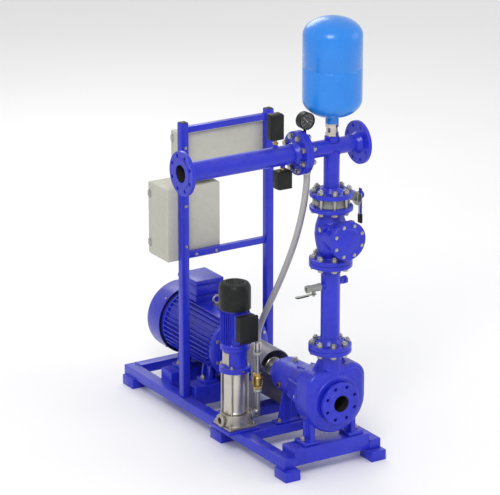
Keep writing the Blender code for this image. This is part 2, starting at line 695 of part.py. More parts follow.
def make_rack():
    """The control rack: two posts on the skid's rails and two rails between them."""
    half = POST_SIDE / 2
    for name, centre in (("rack_post_left", POST_LEFT_X), ("rack_post_right", POST_RIGHT_X)):
        post = box((centre - half, POST_Y[0], RAIL_TOP + SEAT), (centre + half, POST_Y[1], POST_TOP))
        rounded(add_object(name, post, PAINT_BLUE), 0.004, 2)
    span = (POST_LEFT_X + half + SEAT, POST_RIGHT_X - half - SEAT)
    for name, height in RACK_RAIL_Z.items():
        rail = box(
            (span[0], POST_Y[1] - RACK_RAIL, height - RACK_RAIL / 2),
            (span[1], POST_Y[1], height + RACK_RAIL / 2),
        )
        rounded(add_object(name, rail, PAINT_BLUE), 0.003, 2)


def make_cabinet(name, span_x, span_z, depth):
    """A control cabinet fixed to the back of the rack, with its door on the far side."""
    front = POST_Y[1] + SEAT
    back = POST_Y[1] + depth
    seam = back - DOOR_THICK
    body = box((span_x[0], front, span_z[0]), (span_x[1], seam, span_z[1]))
    rounded(add_object(name, body, CABINET_BEIGE), 0.003, 2)
    leaf = box(
        (span_x[0] + 0.002, seam + SEAT, span_z[0] + 0.002),
        (span_x[1] - 0.002, back, span_z[1] - 0.002),
    )
    rounded(add_object(f"{name}_door", leaf, CABINET_BEIGE), 0.003, 2)


def make_cabinets():
    """The main pump's controller above and the jockey pump's controller below it."""
    make_cabinet("controller_cabinet", UPPER_CABINET_X, UPPER_CABINET_Z, UPPER_CABINET_DEPTH)
    make_cabinet("jockey_cabinet", LOWER_CABINET_X, LOWER_CABINET_Z, LOWER_CABINET_DEPTH)


def make_jockey_pump():
    """The vertical multistage jockey pump on its plate."""
    x, y = JOCKEY_X, JOCKEY_Y
    half = JOCKEY_PLATE_HALF
    plate_top = RAIL_TOP + SEAT + JOCKEY_PLATE_THICK
    plate = box((x - half, y - half, RAIL_TOP + SEAT), (x + half, y + half, plate_top))
    rounded(add_object("jockey_plate", plate, PAINT_BLUE), 0.002, 1)

    sole = plate_top + SEAT
    port = JOCKEY_PORT_Z
    reach = JOCKEY_PORT_REACH
    pieces = [
        cylinder((x, y, sole + 0.006), (x, y, JOCKEY_BASE_TOP), JOCKEY_BASE_RADIUS, segments=36),
        box((x - 0.075, y - 0.075, sole), (x + 0.075, y + 0.075, sole + 0.015)),
    ]
    for side in (-1, 1):
        pieces.append(cylinder((x, y, port), (x + side * (reach - 0.004), y, port), 0.021,
                               segments=24))
        pieces.append(cylinder((x + side * (reach - 0.010), y, port), (x + side * reach, y, port),
                               0.032, segments=24))
    base = joined("jockey_base", STEEL, pieces)
    inlet = cylinder((x - reach - OVERSHOOT, y, port), (x - 0.030, y, port), 0.016, segments=24)
    combined(base, [inlet], "DIFFERENCE")

    sleeve = cylinder(
        (x, y, JOCKEY_BASE_TOP + SEAT), (x, y, JOCKEY_SLEEVE_TOP), JOCKEY_SLEEVE_RADIUS, segments=36,
    )
    add_object("jockey_sleeve", sleeve, STEEL)

    head = JOCKEY_SLEEVE_TOP + SEAT
    pieces = [
        cylinder((x, y, head), (x, y, head + 0.025), 0.075, segments=36),
        cylinder((x, y, head + 0.015), (x, y, JOCKEY_HEAD_TOP - 0.010), 0.058, segments=36),
        cylinder((x, y, JOCKEY_HEAD_TOP - 0.016), (x, y, JOCKEY_HEAD_TOP), 0.070, segments=36),
    ]
    for number in range(4):
        angle = math.radians(45 + 90 * number)
        rod_x = x + JOCKEY_RING_RADIUS * math.cos(angle)
        rod_y = y + JOCKEY_RING_RADIUS * math.sin(angle)
        pieces.append(cylinder(
            (rod_x, rod_y, JOCKEY_BASE_TOP + SEAT), (rod_x, rod_y, head + 0.012),
            JOCKEY_ROD_RADIUS, segments=10,
        ))
    joined("jockey_head", PAINT_BLUE, pieces)

    start = JOCKEY_HEAD_TOP + SEAT
    pieces = [
        cylinder((x, y, start), (x, y, JOCKEY_MOTOR_TOP), JOCKEY_MOTOR_RADIUS, segments=36),
        box(
            (x - 0.042, JOCKEY_BOX_Y[1] + SEAT, JOCKEY_BOX_Z[0] + 0.006),
            (x + 0.042, y - 0.040, JOCKEY_BOX_Z[1] - 0.006),
        ),
    ]
    joined("jockey_motor", PAINT_BLUE, pieces)

    start = JOCKEY_MOTOR_TOP + SEAT
    radius = JOCKEY_COWL_RADIUS
    cowl = [
        (0.0, start), (radius, start), (radius, JOCKEY_COWL_TOP - 0.020),
        (radius - 0.016, JOCKEY_COWL_TOP), (0.0, JOCKEY_COWL_TOP),
    ]
    add_object("jockey_fan_cowl", turned(cowl, (x, y, 0), (x, y, 1), 36), BLACK)

    lid = box(
        (x - 0.050, JOCKEY_BOX_Y[0], JOCKEY_BOX_Z[0]), (x + 0.050, JOCKEY_BOX_Y[1], JOCKEY_BOX_Z[1]),
    )
    rounded(add_object("jockey_terminal_box", lid, BLACK), 0.005)


def make_jockey_outlet():
    """The outlet elbow, the check valve and the pipe up to the hose."""
    x, y = OUTLET_X, JOCKEY_Y
    port = JOCKEY_PORT_Z
    start = JOCKEY_X + JOCKEY_PORT_REACH + SEAT
    radius = OUTLET_PIPE_RADIUS
    pieces = [
        cylinder((start, y, port), (start + 0.008, y, port), 0.020, segments=24),
        cylinder((start + 0.004, y, port), (x, y, port), radius, segments=24),
        cylinder((x, y, port - radius), (x, y, OUTLET_VALVE_Z[0] - SEAT), radius, segments=24),
    ]
    joined("jockey_outlet_pipe", ZINC, pieces)
    low, high = OUTLET_VALVE_Z
    top = OUTLET_TOP_Z - SEAT
    profile = [
        (0.0, low), (0.020, low), (0.020, low + 0.016), (0.026, low + 0.022), (0.026, high - 0.022),
        (0.020, high - 0.016), (0.020, high), (radius, high + 0.002), (radius, top - 0.030),
        (0.021, top - 0.026), (0.021, top), (0.0, top),
    ]
    add_object("jockey_check_valve", turned(profile, (x, y, 0), (x, y, 1), 24), BRASS)


def smooth_route(points, steps):
    """Points along a Catmull-Rom curve through the given route."""
    route = [Vector(point) for point in points]
    ends = [2 * route[0] - route[1]] + route + [2 * route[-1] - route[-2]]
    smooth = []
    for first, second, third, fourth in zip(ends, ends[1:], ends[2:], ends[3:]):
        for step in range(steps):
            t = step / steps
            smooth.append(0.5 * (
                2 * second + (third - first) * t
                + (2 * first - 5 * second + 4 * third - fourth) * t ** 2
                + (3 * second - first - 3 * third + fourth) * t ** 3
            ))
    smooth.append(route[-1])
    return smooth


def make_hose():
    """The braided hose, held at both ends."""
    route = smooth_route(HOSE_POINTS, HOSE_STEPS)
    curve = bpy.data.curves.new("braided_hose", "CURVE")
    curve.dimensions = "3D"
    curve.bevel_depth = HOSE_RADIUS
    curve.bevel_resolution = 3
    curve.use_fill_caps = True
    spline = curve.splines.new("POLY")
    spline.points.add(len(route) - 1)
    for point, place in zip(spline.points, route):
        point.co = (*place, 1.0)
    curve.materials.append(material(BRAID))
    hose = bpy.data.objects.new("braided_hose", curve)
    bpy.context.scene.collection.objects.link(hose)
    top = HOSE_POINTS[-1][2] + SEAT
    seat = HEADER_Z - HOSE_BOSS_END - SEAT
    x = HOSE_POINTS[-1][0]
    ferrule = cylinder((x, 0, top), (x, 0, seat), 0.020, segments=24)
    add_object("hose_upper_fitting", ferrule, STEEL)


def centre_unit():
    """Parents every piece to one empty, so that the origin lies under the middle of the unit."""
    left = HEADER_LEFT
    right = RAIL_RIGHT[1] + PAD_OVERHANG
    front = VALVE_COVER_Y - SEAT - VALVE_COVER_THICK
    back = RAIL_BACK
    root = bpy.data.objects.new("pump_unit", None)
    bpy.context.scene.collection.objects.link(root)
    for made in list(bpy.data.objects):
        if made is not root:
            made.parent = root
    root.location = (-(left + right) / 2, -(front + back) / 2, 0.0)


def main():
    """Builds the whole unit."""
    clear_scene()
    make_skid()
    make_pump_casing()
    make_bearing_bracket()
    make_coupling()
    make_coupling_guard()
    make_motor()
    make_riser()
    make_riser_tap()
    make_check_valve()
    make_butterfly_valve()
    make_header()
    make_vessel()
    make_instruments()
    make_rack()
    make_cabinets()
    make_jockey_pump()
    make_jockey_outlet()
    make_hose()
    centre_unit()


main()
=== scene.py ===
"""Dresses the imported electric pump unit: finishes, fine meshes, floor, light and camera.

Every size is in metres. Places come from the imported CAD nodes, so each piece sits where its
node is, and the main shafts and pipes share the axes that those nodes have.
"""

import json
import logging
import math
from dataclasses import dataclass
from enum import Enum
from typing import Callable, Iterable, Sequence

import bmesh
import bpy
from mathutils import Matrix, Vector


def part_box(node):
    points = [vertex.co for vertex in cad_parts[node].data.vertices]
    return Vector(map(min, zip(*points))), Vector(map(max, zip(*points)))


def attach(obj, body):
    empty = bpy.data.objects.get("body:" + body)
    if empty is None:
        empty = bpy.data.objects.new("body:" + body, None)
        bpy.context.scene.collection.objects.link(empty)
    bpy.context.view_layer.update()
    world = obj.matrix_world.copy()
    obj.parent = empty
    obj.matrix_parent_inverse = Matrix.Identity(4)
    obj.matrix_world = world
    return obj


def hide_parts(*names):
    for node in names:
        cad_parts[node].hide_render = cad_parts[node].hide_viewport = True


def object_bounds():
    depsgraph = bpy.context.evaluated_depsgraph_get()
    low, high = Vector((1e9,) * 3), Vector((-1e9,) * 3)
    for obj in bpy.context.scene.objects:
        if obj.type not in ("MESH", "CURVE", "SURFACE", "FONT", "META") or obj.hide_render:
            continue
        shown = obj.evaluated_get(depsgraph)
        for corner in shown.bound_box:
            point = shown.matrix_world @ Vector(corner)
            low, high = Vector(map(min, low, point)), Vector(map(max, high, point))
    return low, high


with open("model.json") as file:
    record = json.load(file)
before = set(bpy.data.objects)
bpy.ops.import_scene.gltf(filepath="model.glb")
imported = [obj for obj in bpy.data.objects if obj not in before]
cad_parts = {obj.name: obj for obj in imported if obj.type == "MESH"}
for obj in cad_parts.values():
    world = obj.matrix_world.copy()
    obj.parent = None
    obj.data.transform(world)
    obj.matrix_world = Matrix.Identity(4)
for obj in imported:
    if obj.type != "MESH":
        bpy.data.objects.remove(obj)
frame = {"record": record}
CAD_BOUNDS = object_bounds()
LOG = logging.getLogger("pump_unit")

UNIT_BODY = "unit"

# Camera
CAMERA_AZIMUTH_DEG = -32.0
CAMERA_ELEVATION_DEG = 18.4
CAMERA_DISTANCE = 14.0
SENSOR_WIDTH = 36.0
FRAME_WIDTH_PX = 500
PIXELS_PER_METRE = 209.0

# Pipework
BOLT_CIRCLE = 0.08  # radius of the bolt circle on the 200 mm flanges
BOLT_COUNT = 8
BOLT_SIZE = 0.016
HOLE_RADIUS = 0.009
HOLE_MARGIN = 0.004  # how far a drill runs past both faces of a flange
FLANGE_RADIUS = 0.1
FLANGE_THICK = 0.02
FLANGE_CHAMFER = 0.0018
PIPE_RADIUS = 0.04445
GASKET = (0.045, 0.0715)  # inner and outer radius

# Turned shapes and spacing
ROUND = 64  # sides of the large turned shapes
SMALL_ROUND = 32
JOINT_GAP = 0.0003  # between two castings that meet
SIDES = (-1, 1)

Point = Sequence[float]
Profile = list[tuple[float, float]]
Socket = bpy.types.NodeSocket


class Axis(Enum):
    """The row axes, as unit vectors."""

    X = (1.0, 0.0, 0.0)
    Y = (0.0, 1.0, 0.0)
    Z = (0.0, 0.0, 1.0)

    @property
    def vector(self) -> Vector:
        """The axis as a Vector."""
        return Vector(self.value)


X, Y, Z = (row_axis.vector for row_axis in Axis)


class Slot(str, Enum):
    """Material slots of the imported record."""

    BLUE = "blue_paint"
    DARK_BLUE = "dark_blue_paint"
    AZURE = "azure_paint"
    BEIGE = "beige_paint"
    STEEL = "brushed_steel"
    ZINC = "zinc_steel"
    BRAID = "steel_braid"
    BLACK = "black_plastic"
    ENAMEL = "grey_enamel"
    GREY = "grey_paint"
    BRASS = "brass"


class NodeGraph:
    """A short way to write a material's nodes."""

    def __init__(self, name: str) -> None:
        """Starts an empty material with a Principled shader.

        Args:
            name: the material's name.
        """
        self.material = bpy.data.materials.new(name)
        self.material.use_nodes = True
        self.tree = self.material.node_tree
        self.shader = self.tree.nodes["Principled BSDF"]
        self.coords = self.tree.nodes.new("ShaderNodeTexCoord")

    def fill(self, target: Socket, value: object) -> None:
        """Fills an input from another node's output, or with a constant.

        Args:
            target: the input.
            value: an output or a constant.
        """
        if isinstance(value, Socket):
            self.tree.links.new(value, target)
        else:
            target.default_value = value

    def surface(self, **inputs: object) -> None:
        """Fills the shader's inputs, which are named with underscores."""
        for key, value in inputs.items():
            self.fill(self.shader.inputs[key.replace("_", " ")], value)

    def add(self, kind: str, **settings: object) -> bpy.types.Node:
        """Adds a node.

        Args:
            kind: the node's type name without the ShaderNode prefix.
            settings: attributes of the node, or what fills an input as in_Name with underscores.

        Returns:
            The new node.
        """
        node = self.tree.nodes.new("ShaderNode" + kind)
        for key, value in settings.items():
            if key.startswith("in_"):
                self.fill(node.inputs[key[3:].replace("_", " ")], value)
            else:
                setattr(node, key, value)
        return node

    def noise(self, scale: float, detail: float, stretch: Point = (1, 1, 1)) -> Socket:
        """A noise pattern on Object coordinates.

        Args:
            scale: how fine it is.
            detail: how many octaves it has.
            stretch: the scale along each axis.

        Returns:
            The pattern, from 0 to 1.
        """
        mapping = self.add("Mapping", in_Scale=stretch, in_Vector=self.coords.outputs["Object"])
        noise = self.add("TexNoise", in_Scale=scale, in_Detail=detail, in_Roughness=0.55,
                         in_Vector=mapping.outputs["Vector"])
        return noise.outputs["Fac"]

    def ramp(self, value: Socket, low: float, high: float, low_to: float = 0.0,
             high_to: float = 1.0) -> Socket:
        """Maps a value from one range to another, held at both ends.

        Args:
            value: what is mapped.
            low: the range's start.
            high: the range's end.
            low_to: what the start becomes.
            high_to: what the end becomes.

        Returns:
            The mapped value.
        """
        node = self.add("MapRange", clamp=True, in_From_Min=low, in_From_Max=high, in_To_Min=low_to,
                        in_To_Max=high_to, in_Value=value)
        return node.outputs["Result"]

    def mix(self, share: Socket, first: object, second: object) -> Socket:
        """Mixes two colours.

        Args:
            share: how much of the second colour there is.
            first: a socket or a plain colour.
            second: a socket or a plain colour.

        Returns:
            The mixed colour.
        """
        node = self.add("Mix", data_type="RGBA", in_Factor=share)
        self.fill(node.inputs[6], first)
        self.fill(node.inputs[7], second)
        return node.outputs[2]

    def math(self, operation: str, first: object, second: object) -> Socket:
        """Does one math step.

        Args:
            operation: the step's name.
            first: a socket or a number.
            second: a socket or a number.

        Returns:
            The result.
        """
        node = self.add("Math", operation=operation)
        self.fill(node.inputs[0], first)
        self.fill(node.inputs[1], second)
        return node.outputs[0]

    def upward(self) -> Socket:
        """How far a surface faces up, from 0 to 1."""
        parts = self.add("SeparateXYZ", in_Vector=self.add("NewGeometry").outputs["Normal"])
        return self.ramp(parts.outputs["Z"], 0.35, 0.95)

    def bump(self, height: Socket, distance: float, strength: float) -> None:
        """Adds surface relief, on top of any that is there.

        Args:
            height: the pattern.
            distance: how deep it is.
            strength: how much of it shows.
        """
        node = self.add("Bump", in_Distance=distance, in_Strength=strength, in_Height=height)
        normal = self.shader.inputs["Normal"]
        if normal.is_linked:
            self.fill(node.inputs["Normal"], normal.links[0].from_socket)
        self.fill(normal, node.outputs["Normal"])


def linear(hex_colour: str) -> tuple[float, ...]:
    """Turns a colour such as 3a40c8 into linear values, with a full alpha."""
    parts = [int(hex_colour[start:start + 2], 16) / 255 for start in (0, 2, 4)]
    return (*(c / 12.92 if c <= 0.04045 else ((c + 0.055) / 1.055) ** 2.4 for c in parts), 1.0)


@dataclass(frozen=True)
class Finish:
    """The base of every finish: what all surfaces share."""

    name: str
    slot: Slot
    colour: str

    def material(self) -> bpy.types.Material:
        """Makes the finish's material, or finds it where it is made.

        Returns:
            The material.
        """
        found = bpy.data.materials.get(self.name)
        if found is None:
            graph = NodeGraph(self.name)
            self.build(graph)
            found = graph.material
        return found

    def build(self, graph: NodeGraph) -> None:
        """Fills the material's nodes.

        Args:
            graph: the material's nodes.
        """
        raise NotImplementedError


@dataclass(frozen=True)
class Paint(Finish):
    """Enamel or powder coat: gloss, orange peel, slight fading and dust on top."""

    shade: str
    light: str
    gloss: float
    grain_scale: float = 420.0
    grain_depth: float = 0.00012
    dust: float = 0.1
    coat: float = 0.2
    fading: float = 0.35

    def build(self, graph: NodeGraph) -> None:
        """Fills the material's nodes.

        Args:
            graph: the material's nodes.
        """
        broad = graph.ramp(graph.noise(5.0, 4.0), 0.32, 0.68)
        fine = graph.ramp(graph.noise(38.0, 5.0), 0.3, 0.75)
        colour = graph.mix(broad, linear(self.colour), linear(self.shade))
        colour = graph.mix(graph.math("MULTIPLY", fine, self.fading), colour, linear(self.light))
        # dust that settles in patches on upward faces
        dust_and_painted_top_light = graph.math("MULTIPLY", graph.upward(), graph.ramp(graph.noise(16.0, 6.0), 0.35, 0.7))
        colour = graph.mix(graph.math("MULTIPLY", dust_and_painted_top_light, self.dust), colour, linear("b9b6ae"))
        rough = graph.ramp(graph.noise(22.0, 4.0), 0.3, 0.7, self.gloss - 0.05, self.gloss + 0.09)
        graph.surface(Base_Color=colour, Roughness=rough, Specular_IOR_Level=0.36,
                      Coat_Weight=self.coat, Coat_Roughness=0.18)
        graph.bump(graph.noise(self.grain_scale, 2.0), self.grain_depth, 0.6)
        graph.bump(graph.noise(60.0, 3.0), 0.0003, 0.18)


@dataclass(frozen=True)
class Metal(Finish):
    """Bare metal with a drawn or turned grain and light tarnish."""

    shade: str
    gloss: float
    stretch: tuple[float, float, float] = (1.0, 1.0, 1.0)
    grain_scale: float = 30.0
    grain_depth: float = 0.00008
    unevenness: float = 0.1

    def build(self, graph: NodeGraph) -> None:
        """Fills the material's nodes.

        Args:
            graph: the material's nodes.
        """
        grain = graph.noise(self.grain_scale, 4.0, self.stretch)
        broad = graph.ramp(graph.noise(14.0, 5.0), 0.32, 0.72)
        rough = graph.ramp(grain, 0.3, 0.7, self.gloss - self.unevenness * 0.8,
                           self.gloss + self.unevenness * 1.2)
        graph.surface(Base_Color=graph.mix(broad, linear(self.colour), linear(self.shade)),
                      Metallic=1.0, Roughness=rough)
        graph.bump(grain, self.grain_depth, 0.5)


@dataclass(frozen=True)
class Moulded(Finish):
    """Plastic or rubber with a fine moulded grain, and a painted top light on upward faces."""

    light: str
    gloss: float = 0.46
    grain_depth: float = 0.00015

    def build(self, graph: NodeGraph) -> None:
        """Fills the material's nodes.

        Args:
            graph: the material's nodes.
        """
        broad = graph.ramp(graph.noise(18.0, 4.0), 0.35, 0.75)
        # painted top light: upward faces take a fixed share of the lighter tone
        dust_and_painted_top_light = graph.math("MULTIPLY", graph.upward(), 0.35)
        share = graph.math("MAXIMUM", graph.math("MULTIPLY", broad, 0.5), dust_and_painted_top_light)
        rough = graph.ramp(graph.noise(40.0, 3.0), 0.3, 0.7, self.gloss - 0.05, self.gloss + 0.1)
        graph.surface(Base_Color=graph.mix(share, linear(self.colour), linear(self.light)),
                      Roughness=rough, Specular_IOR_Level=0.22)
        graph.bump(graph.noise(650.0, 2.0), self.grain_depth, 0.7)


@dataclass(frozen=True)
class Braid(Finish):
    """Woven steel wire round a hose, patterned along the tube's own UV map."""

    shade: str
    turns: float = 10.0
    pitch: float = 90.0

    def build(self, graph: NodeGraph) -> None:
        """Fills the material's nodes.

        Args:
            graph: the material's nodes.
        """
        waves = []
        for lean in SIDES:
            mapping = graph.add("Mapping", in_Scale=(self.turns * lean, self.pitch, 1.0),
                                in_Vector=graph.coords.outputs["UV"])
            wave = graph.add("TexWave", bands_direction="DIAGONAL", in_Scale=1.0,
                             in_Vector=mapping.outputs["Vector"])
            waves.append(wave.outputs["Fac"])
        weave = graph.math("MAXIMUM", *waves)
        graph.surface(Base_Color=graph.mix(weave, linear(self.shade), linear(self.colour)),
                      Metallic=0.65, Roughness=0.42)
        graph.bump(weave, 0.0012, 0.8)


@dataclass(frozen=True)
class Pane(Finish):
    """The clear window of a dial."""

    def build(self, graph: NodeGraph) -> None:
        """Fills the material's nodes.

        Args:
            graph: the material's nodes.
        """
        graph.surface(Base_Color=linear(self.colour), Roughness=0.06, Transmission_Weight=1.0, IOR=1.45)
        graph.bump(graph.noise(9.0, 1.0), 0.0001, 0.1)


BLUE = Paint("blue_enamel", Slot.BLUE, "1e28bf", "171fa9", "3139d5", 0.33)
CAST_BLUE = Paint("blue_enamel_on_casting", Slot.BLUE, "1d27be", "161ea7", "3038d4", 0.38,
                  grain_scale=170.0, grain_depth=0.0007, dust=0.12)
SHEET_BLUE = Paint("blue_enamel_on_sheet", Slot.DARK_BLUE, "1c25b8", "161da3", "2d35cc", 0.32)
AZURE = Paint("azure_powder_coat", Slot.AZURE, "207fdc", "1d79d4", "2b88e5", 0.26, coat=0.3,
              dust=0.03, fading=0.2)
BEIGE = Paint("beige_powder_coat", Slot.BEIGE, "bbbaad", "b2b1a4", "c7c6bb", 0.46,
              grain_scale=900.0, grain_depth=0.00025, coat=0.0)
GREY = Paint("grey_sheet_paint", Slot.GREY, "77747f", "6c6974", "8a8792", 0.42, coat=0.1)
ENAMEL = Paint("grey_enamel_on_casting", Slot.ENAMEL, "8b8d88", "7c7e79", "9ea09b", 0.42,
               grain_scale=220.0, grain_depth=0.0004, coat=0.1)
STAINLESS = Metal("satin_stainless", Slot.STEEL, "d2ccc1", "c2bcb0", 0.3, unevenness=0.04,
                  stretch=(1.0, 1.0, 26.0), grain_depth=0.00002)
TURNED = Metal("turned_steel", Slot.STEEL, "c4c0b8", "a9a59c", 0.3, unevenness=0.06,
               stretch=(1.0, 30.0, 1.0), grain_depth=0.00003)
CAST_STEEL = Metal("cast_stainless", Slot.STEEL, "b7b2a8", "9d988f", 0.42, grain_scale=180.0,
                   grain_depth=0.0005)
ZINC = Metal("zinc_plate", Slot.ZINC, "b9b9b4", "9b9b94", 0.36, grain_scale=90.0)
BRASS = Metal("dull_brass", Slot.BRASS, "c2a561", "9c8348", 0.34, grain_scale=80.0)
BLACK = Moulded("moulded_black", Slot.BLACK, "171918", "2a2c2b")
SHEET_BLACK = Moulded("black_enamel", Slot.BLACK, "181a19", "2b2d2c", 0.38, 0.0001)
# bare iron inside the bores, made near black: partly its own colour, partly painted shade of the deep bore
BARE_IRON_AND_BORE_SHADE = Moulded("bare_iron_and_painted_bore_shade", Slot.STEEL, "232122", "34302d", 0.55)
RUBBER = Moulded("black_rubber", Slot.BLACK, "191919", "2c2c2c", 0.62)
DIAL = Moulded("white_dial", Slot.BLACK, "ecebe6", "f6f5f1", 0.4, 0.00003)
HOSE_WIRE = Braid("braided_wire", Slot.BRAID, "c4c1c0", "8d8a8b")
WINDOW = Pane("dial_window", Slot.BLACK, "f4f7f8")


def aim(start: Vector, way: Vector) -> Matrix:
    """The matrix that carries the origin to a start and +Z onto a way."""
    return Matrix.Translation(start) @ way.normalized().to_track_quat("Z", "Y").to_matrix().to_4x4()


def outward(start: Vector, out: Vector) -> Matrix:
    """The matrix that carries the origin to a start and +X onto a direction across Y."""
    return Matrix.Translation(start) @ Matrix((
        (out.x, 0, -out.z, 0), (0, 1, 0, 0), (out.z, 0, out.x, 0), (0, 0, 0, 1)))


def side_frame(way: Vector) -> Matrix:
    """A frame whose Z runs along a route that stays close to a vertical plane across X."""
    third = way.cross(X).normalized()
    return Matrix((third.cross(way).normalized(), third, way)).transposed().to_4x4()


def arc(centre: tuple[float, float], radius: float, start_deg: float, end_deg: float,
        steps: int, end_radius: float | None = None) -> Profile:
    """Points along an arc, or along a spiral where the radius changes.

    Args:
        centre: its middle.
        radius: how far the first point is from it.
        start_deg: the first point's angle.
        end_deg: the last point's angle.
        steps: how many steps there are between them.
        end_radius: how far the last point is from the middle, where that differs.

    Returns:
        The points.
    """
    last = radius if end_radius is None else end_radius
    points = []
    for step in range(steps + 1):
        share = step / steps
        angle = math.radians(start_deg + (end_deg - start_deg) * share)
        reach = radius + (last - radius) * share
        points.append((centre[0] + reach * math.cos(angle), centre[1] + reach * math.sin(angle)))
    return points


def rim(radius: float, near: float, far: float, chamfer: float = FLANGE_CHAMFER) -> Profile:
    """A disc's outer points, from its near face round to its far face."""
    return [(radius - chamfer, near), (radius, near + chamfer), (radius, far - chamfer),
            (radius - chamfer, far)]


def disc(radius: float, near: float, far: float, chamfer: float = FLANGE_CHAMFER,
         bore: float = 0.0) -> Profile:
    """The closed profile of a disc or a flange."""
    return [(bore, near), *rim(radius, near, far, chamfer), (bore, far)]


def ring(inner: float, outer: float, near: float, far: float) -> Profile:
    """The profile of a ring with square corners."""
    return [(inner, near), (outer, near), (outer, far), (inner, far)]


def ended(first: Profile, last: Profile, length: float) -> Profile:
    """Joins the profiles of two ends, each counted from its own face, to one of a given length."""
    return first + [(radius, length - height) for radius, height in reversed(last)]


def ray(angle: float, up: Vector = Z) -> Vector:
    """The direction at an angle from X towards another axis."""
    return X * math.cos(angle) + up * math.sin(angle)


def middle(node: str) -> Vector:
    """The centre of a CAD node's box."""
    low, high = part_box(node)
    return (low + high) / 2


def ring_points(centre: Point, axis: Vector, radius: float, count: int,
                turn_deg: float = 0.0) -> list[Vector]:
    """Points spread evenly on a circle.

    Args:
        centre: the circle's middle.
        axis: the direction that it is turned about.
        radius: the circle's radius.
        count: how many points there are.
        turn_deg: the first point's angle.

    Returns:
        The points.
    """
    place = aim(Vector(centre), axis)
    angles = (math.radians(turn_deg) + math.tau * number / count for number in range(count))
    return [place @ Vector((radius * math.cos(a), radius * math.sin(a), 0.0)) for a in angles]


def joint_place(name: str) -> Point:
    """Where a joint's axis is, in the row frame.

    Args:
        name: the joint's name in the record.

    Returns:
        The place.
    """
    for joint in frame["record"]["behaviour"]["joints"]:
        if joint["name"] == name:
            return joint["pos_m"]
    raise ValueError(f"no joint is named {name}")


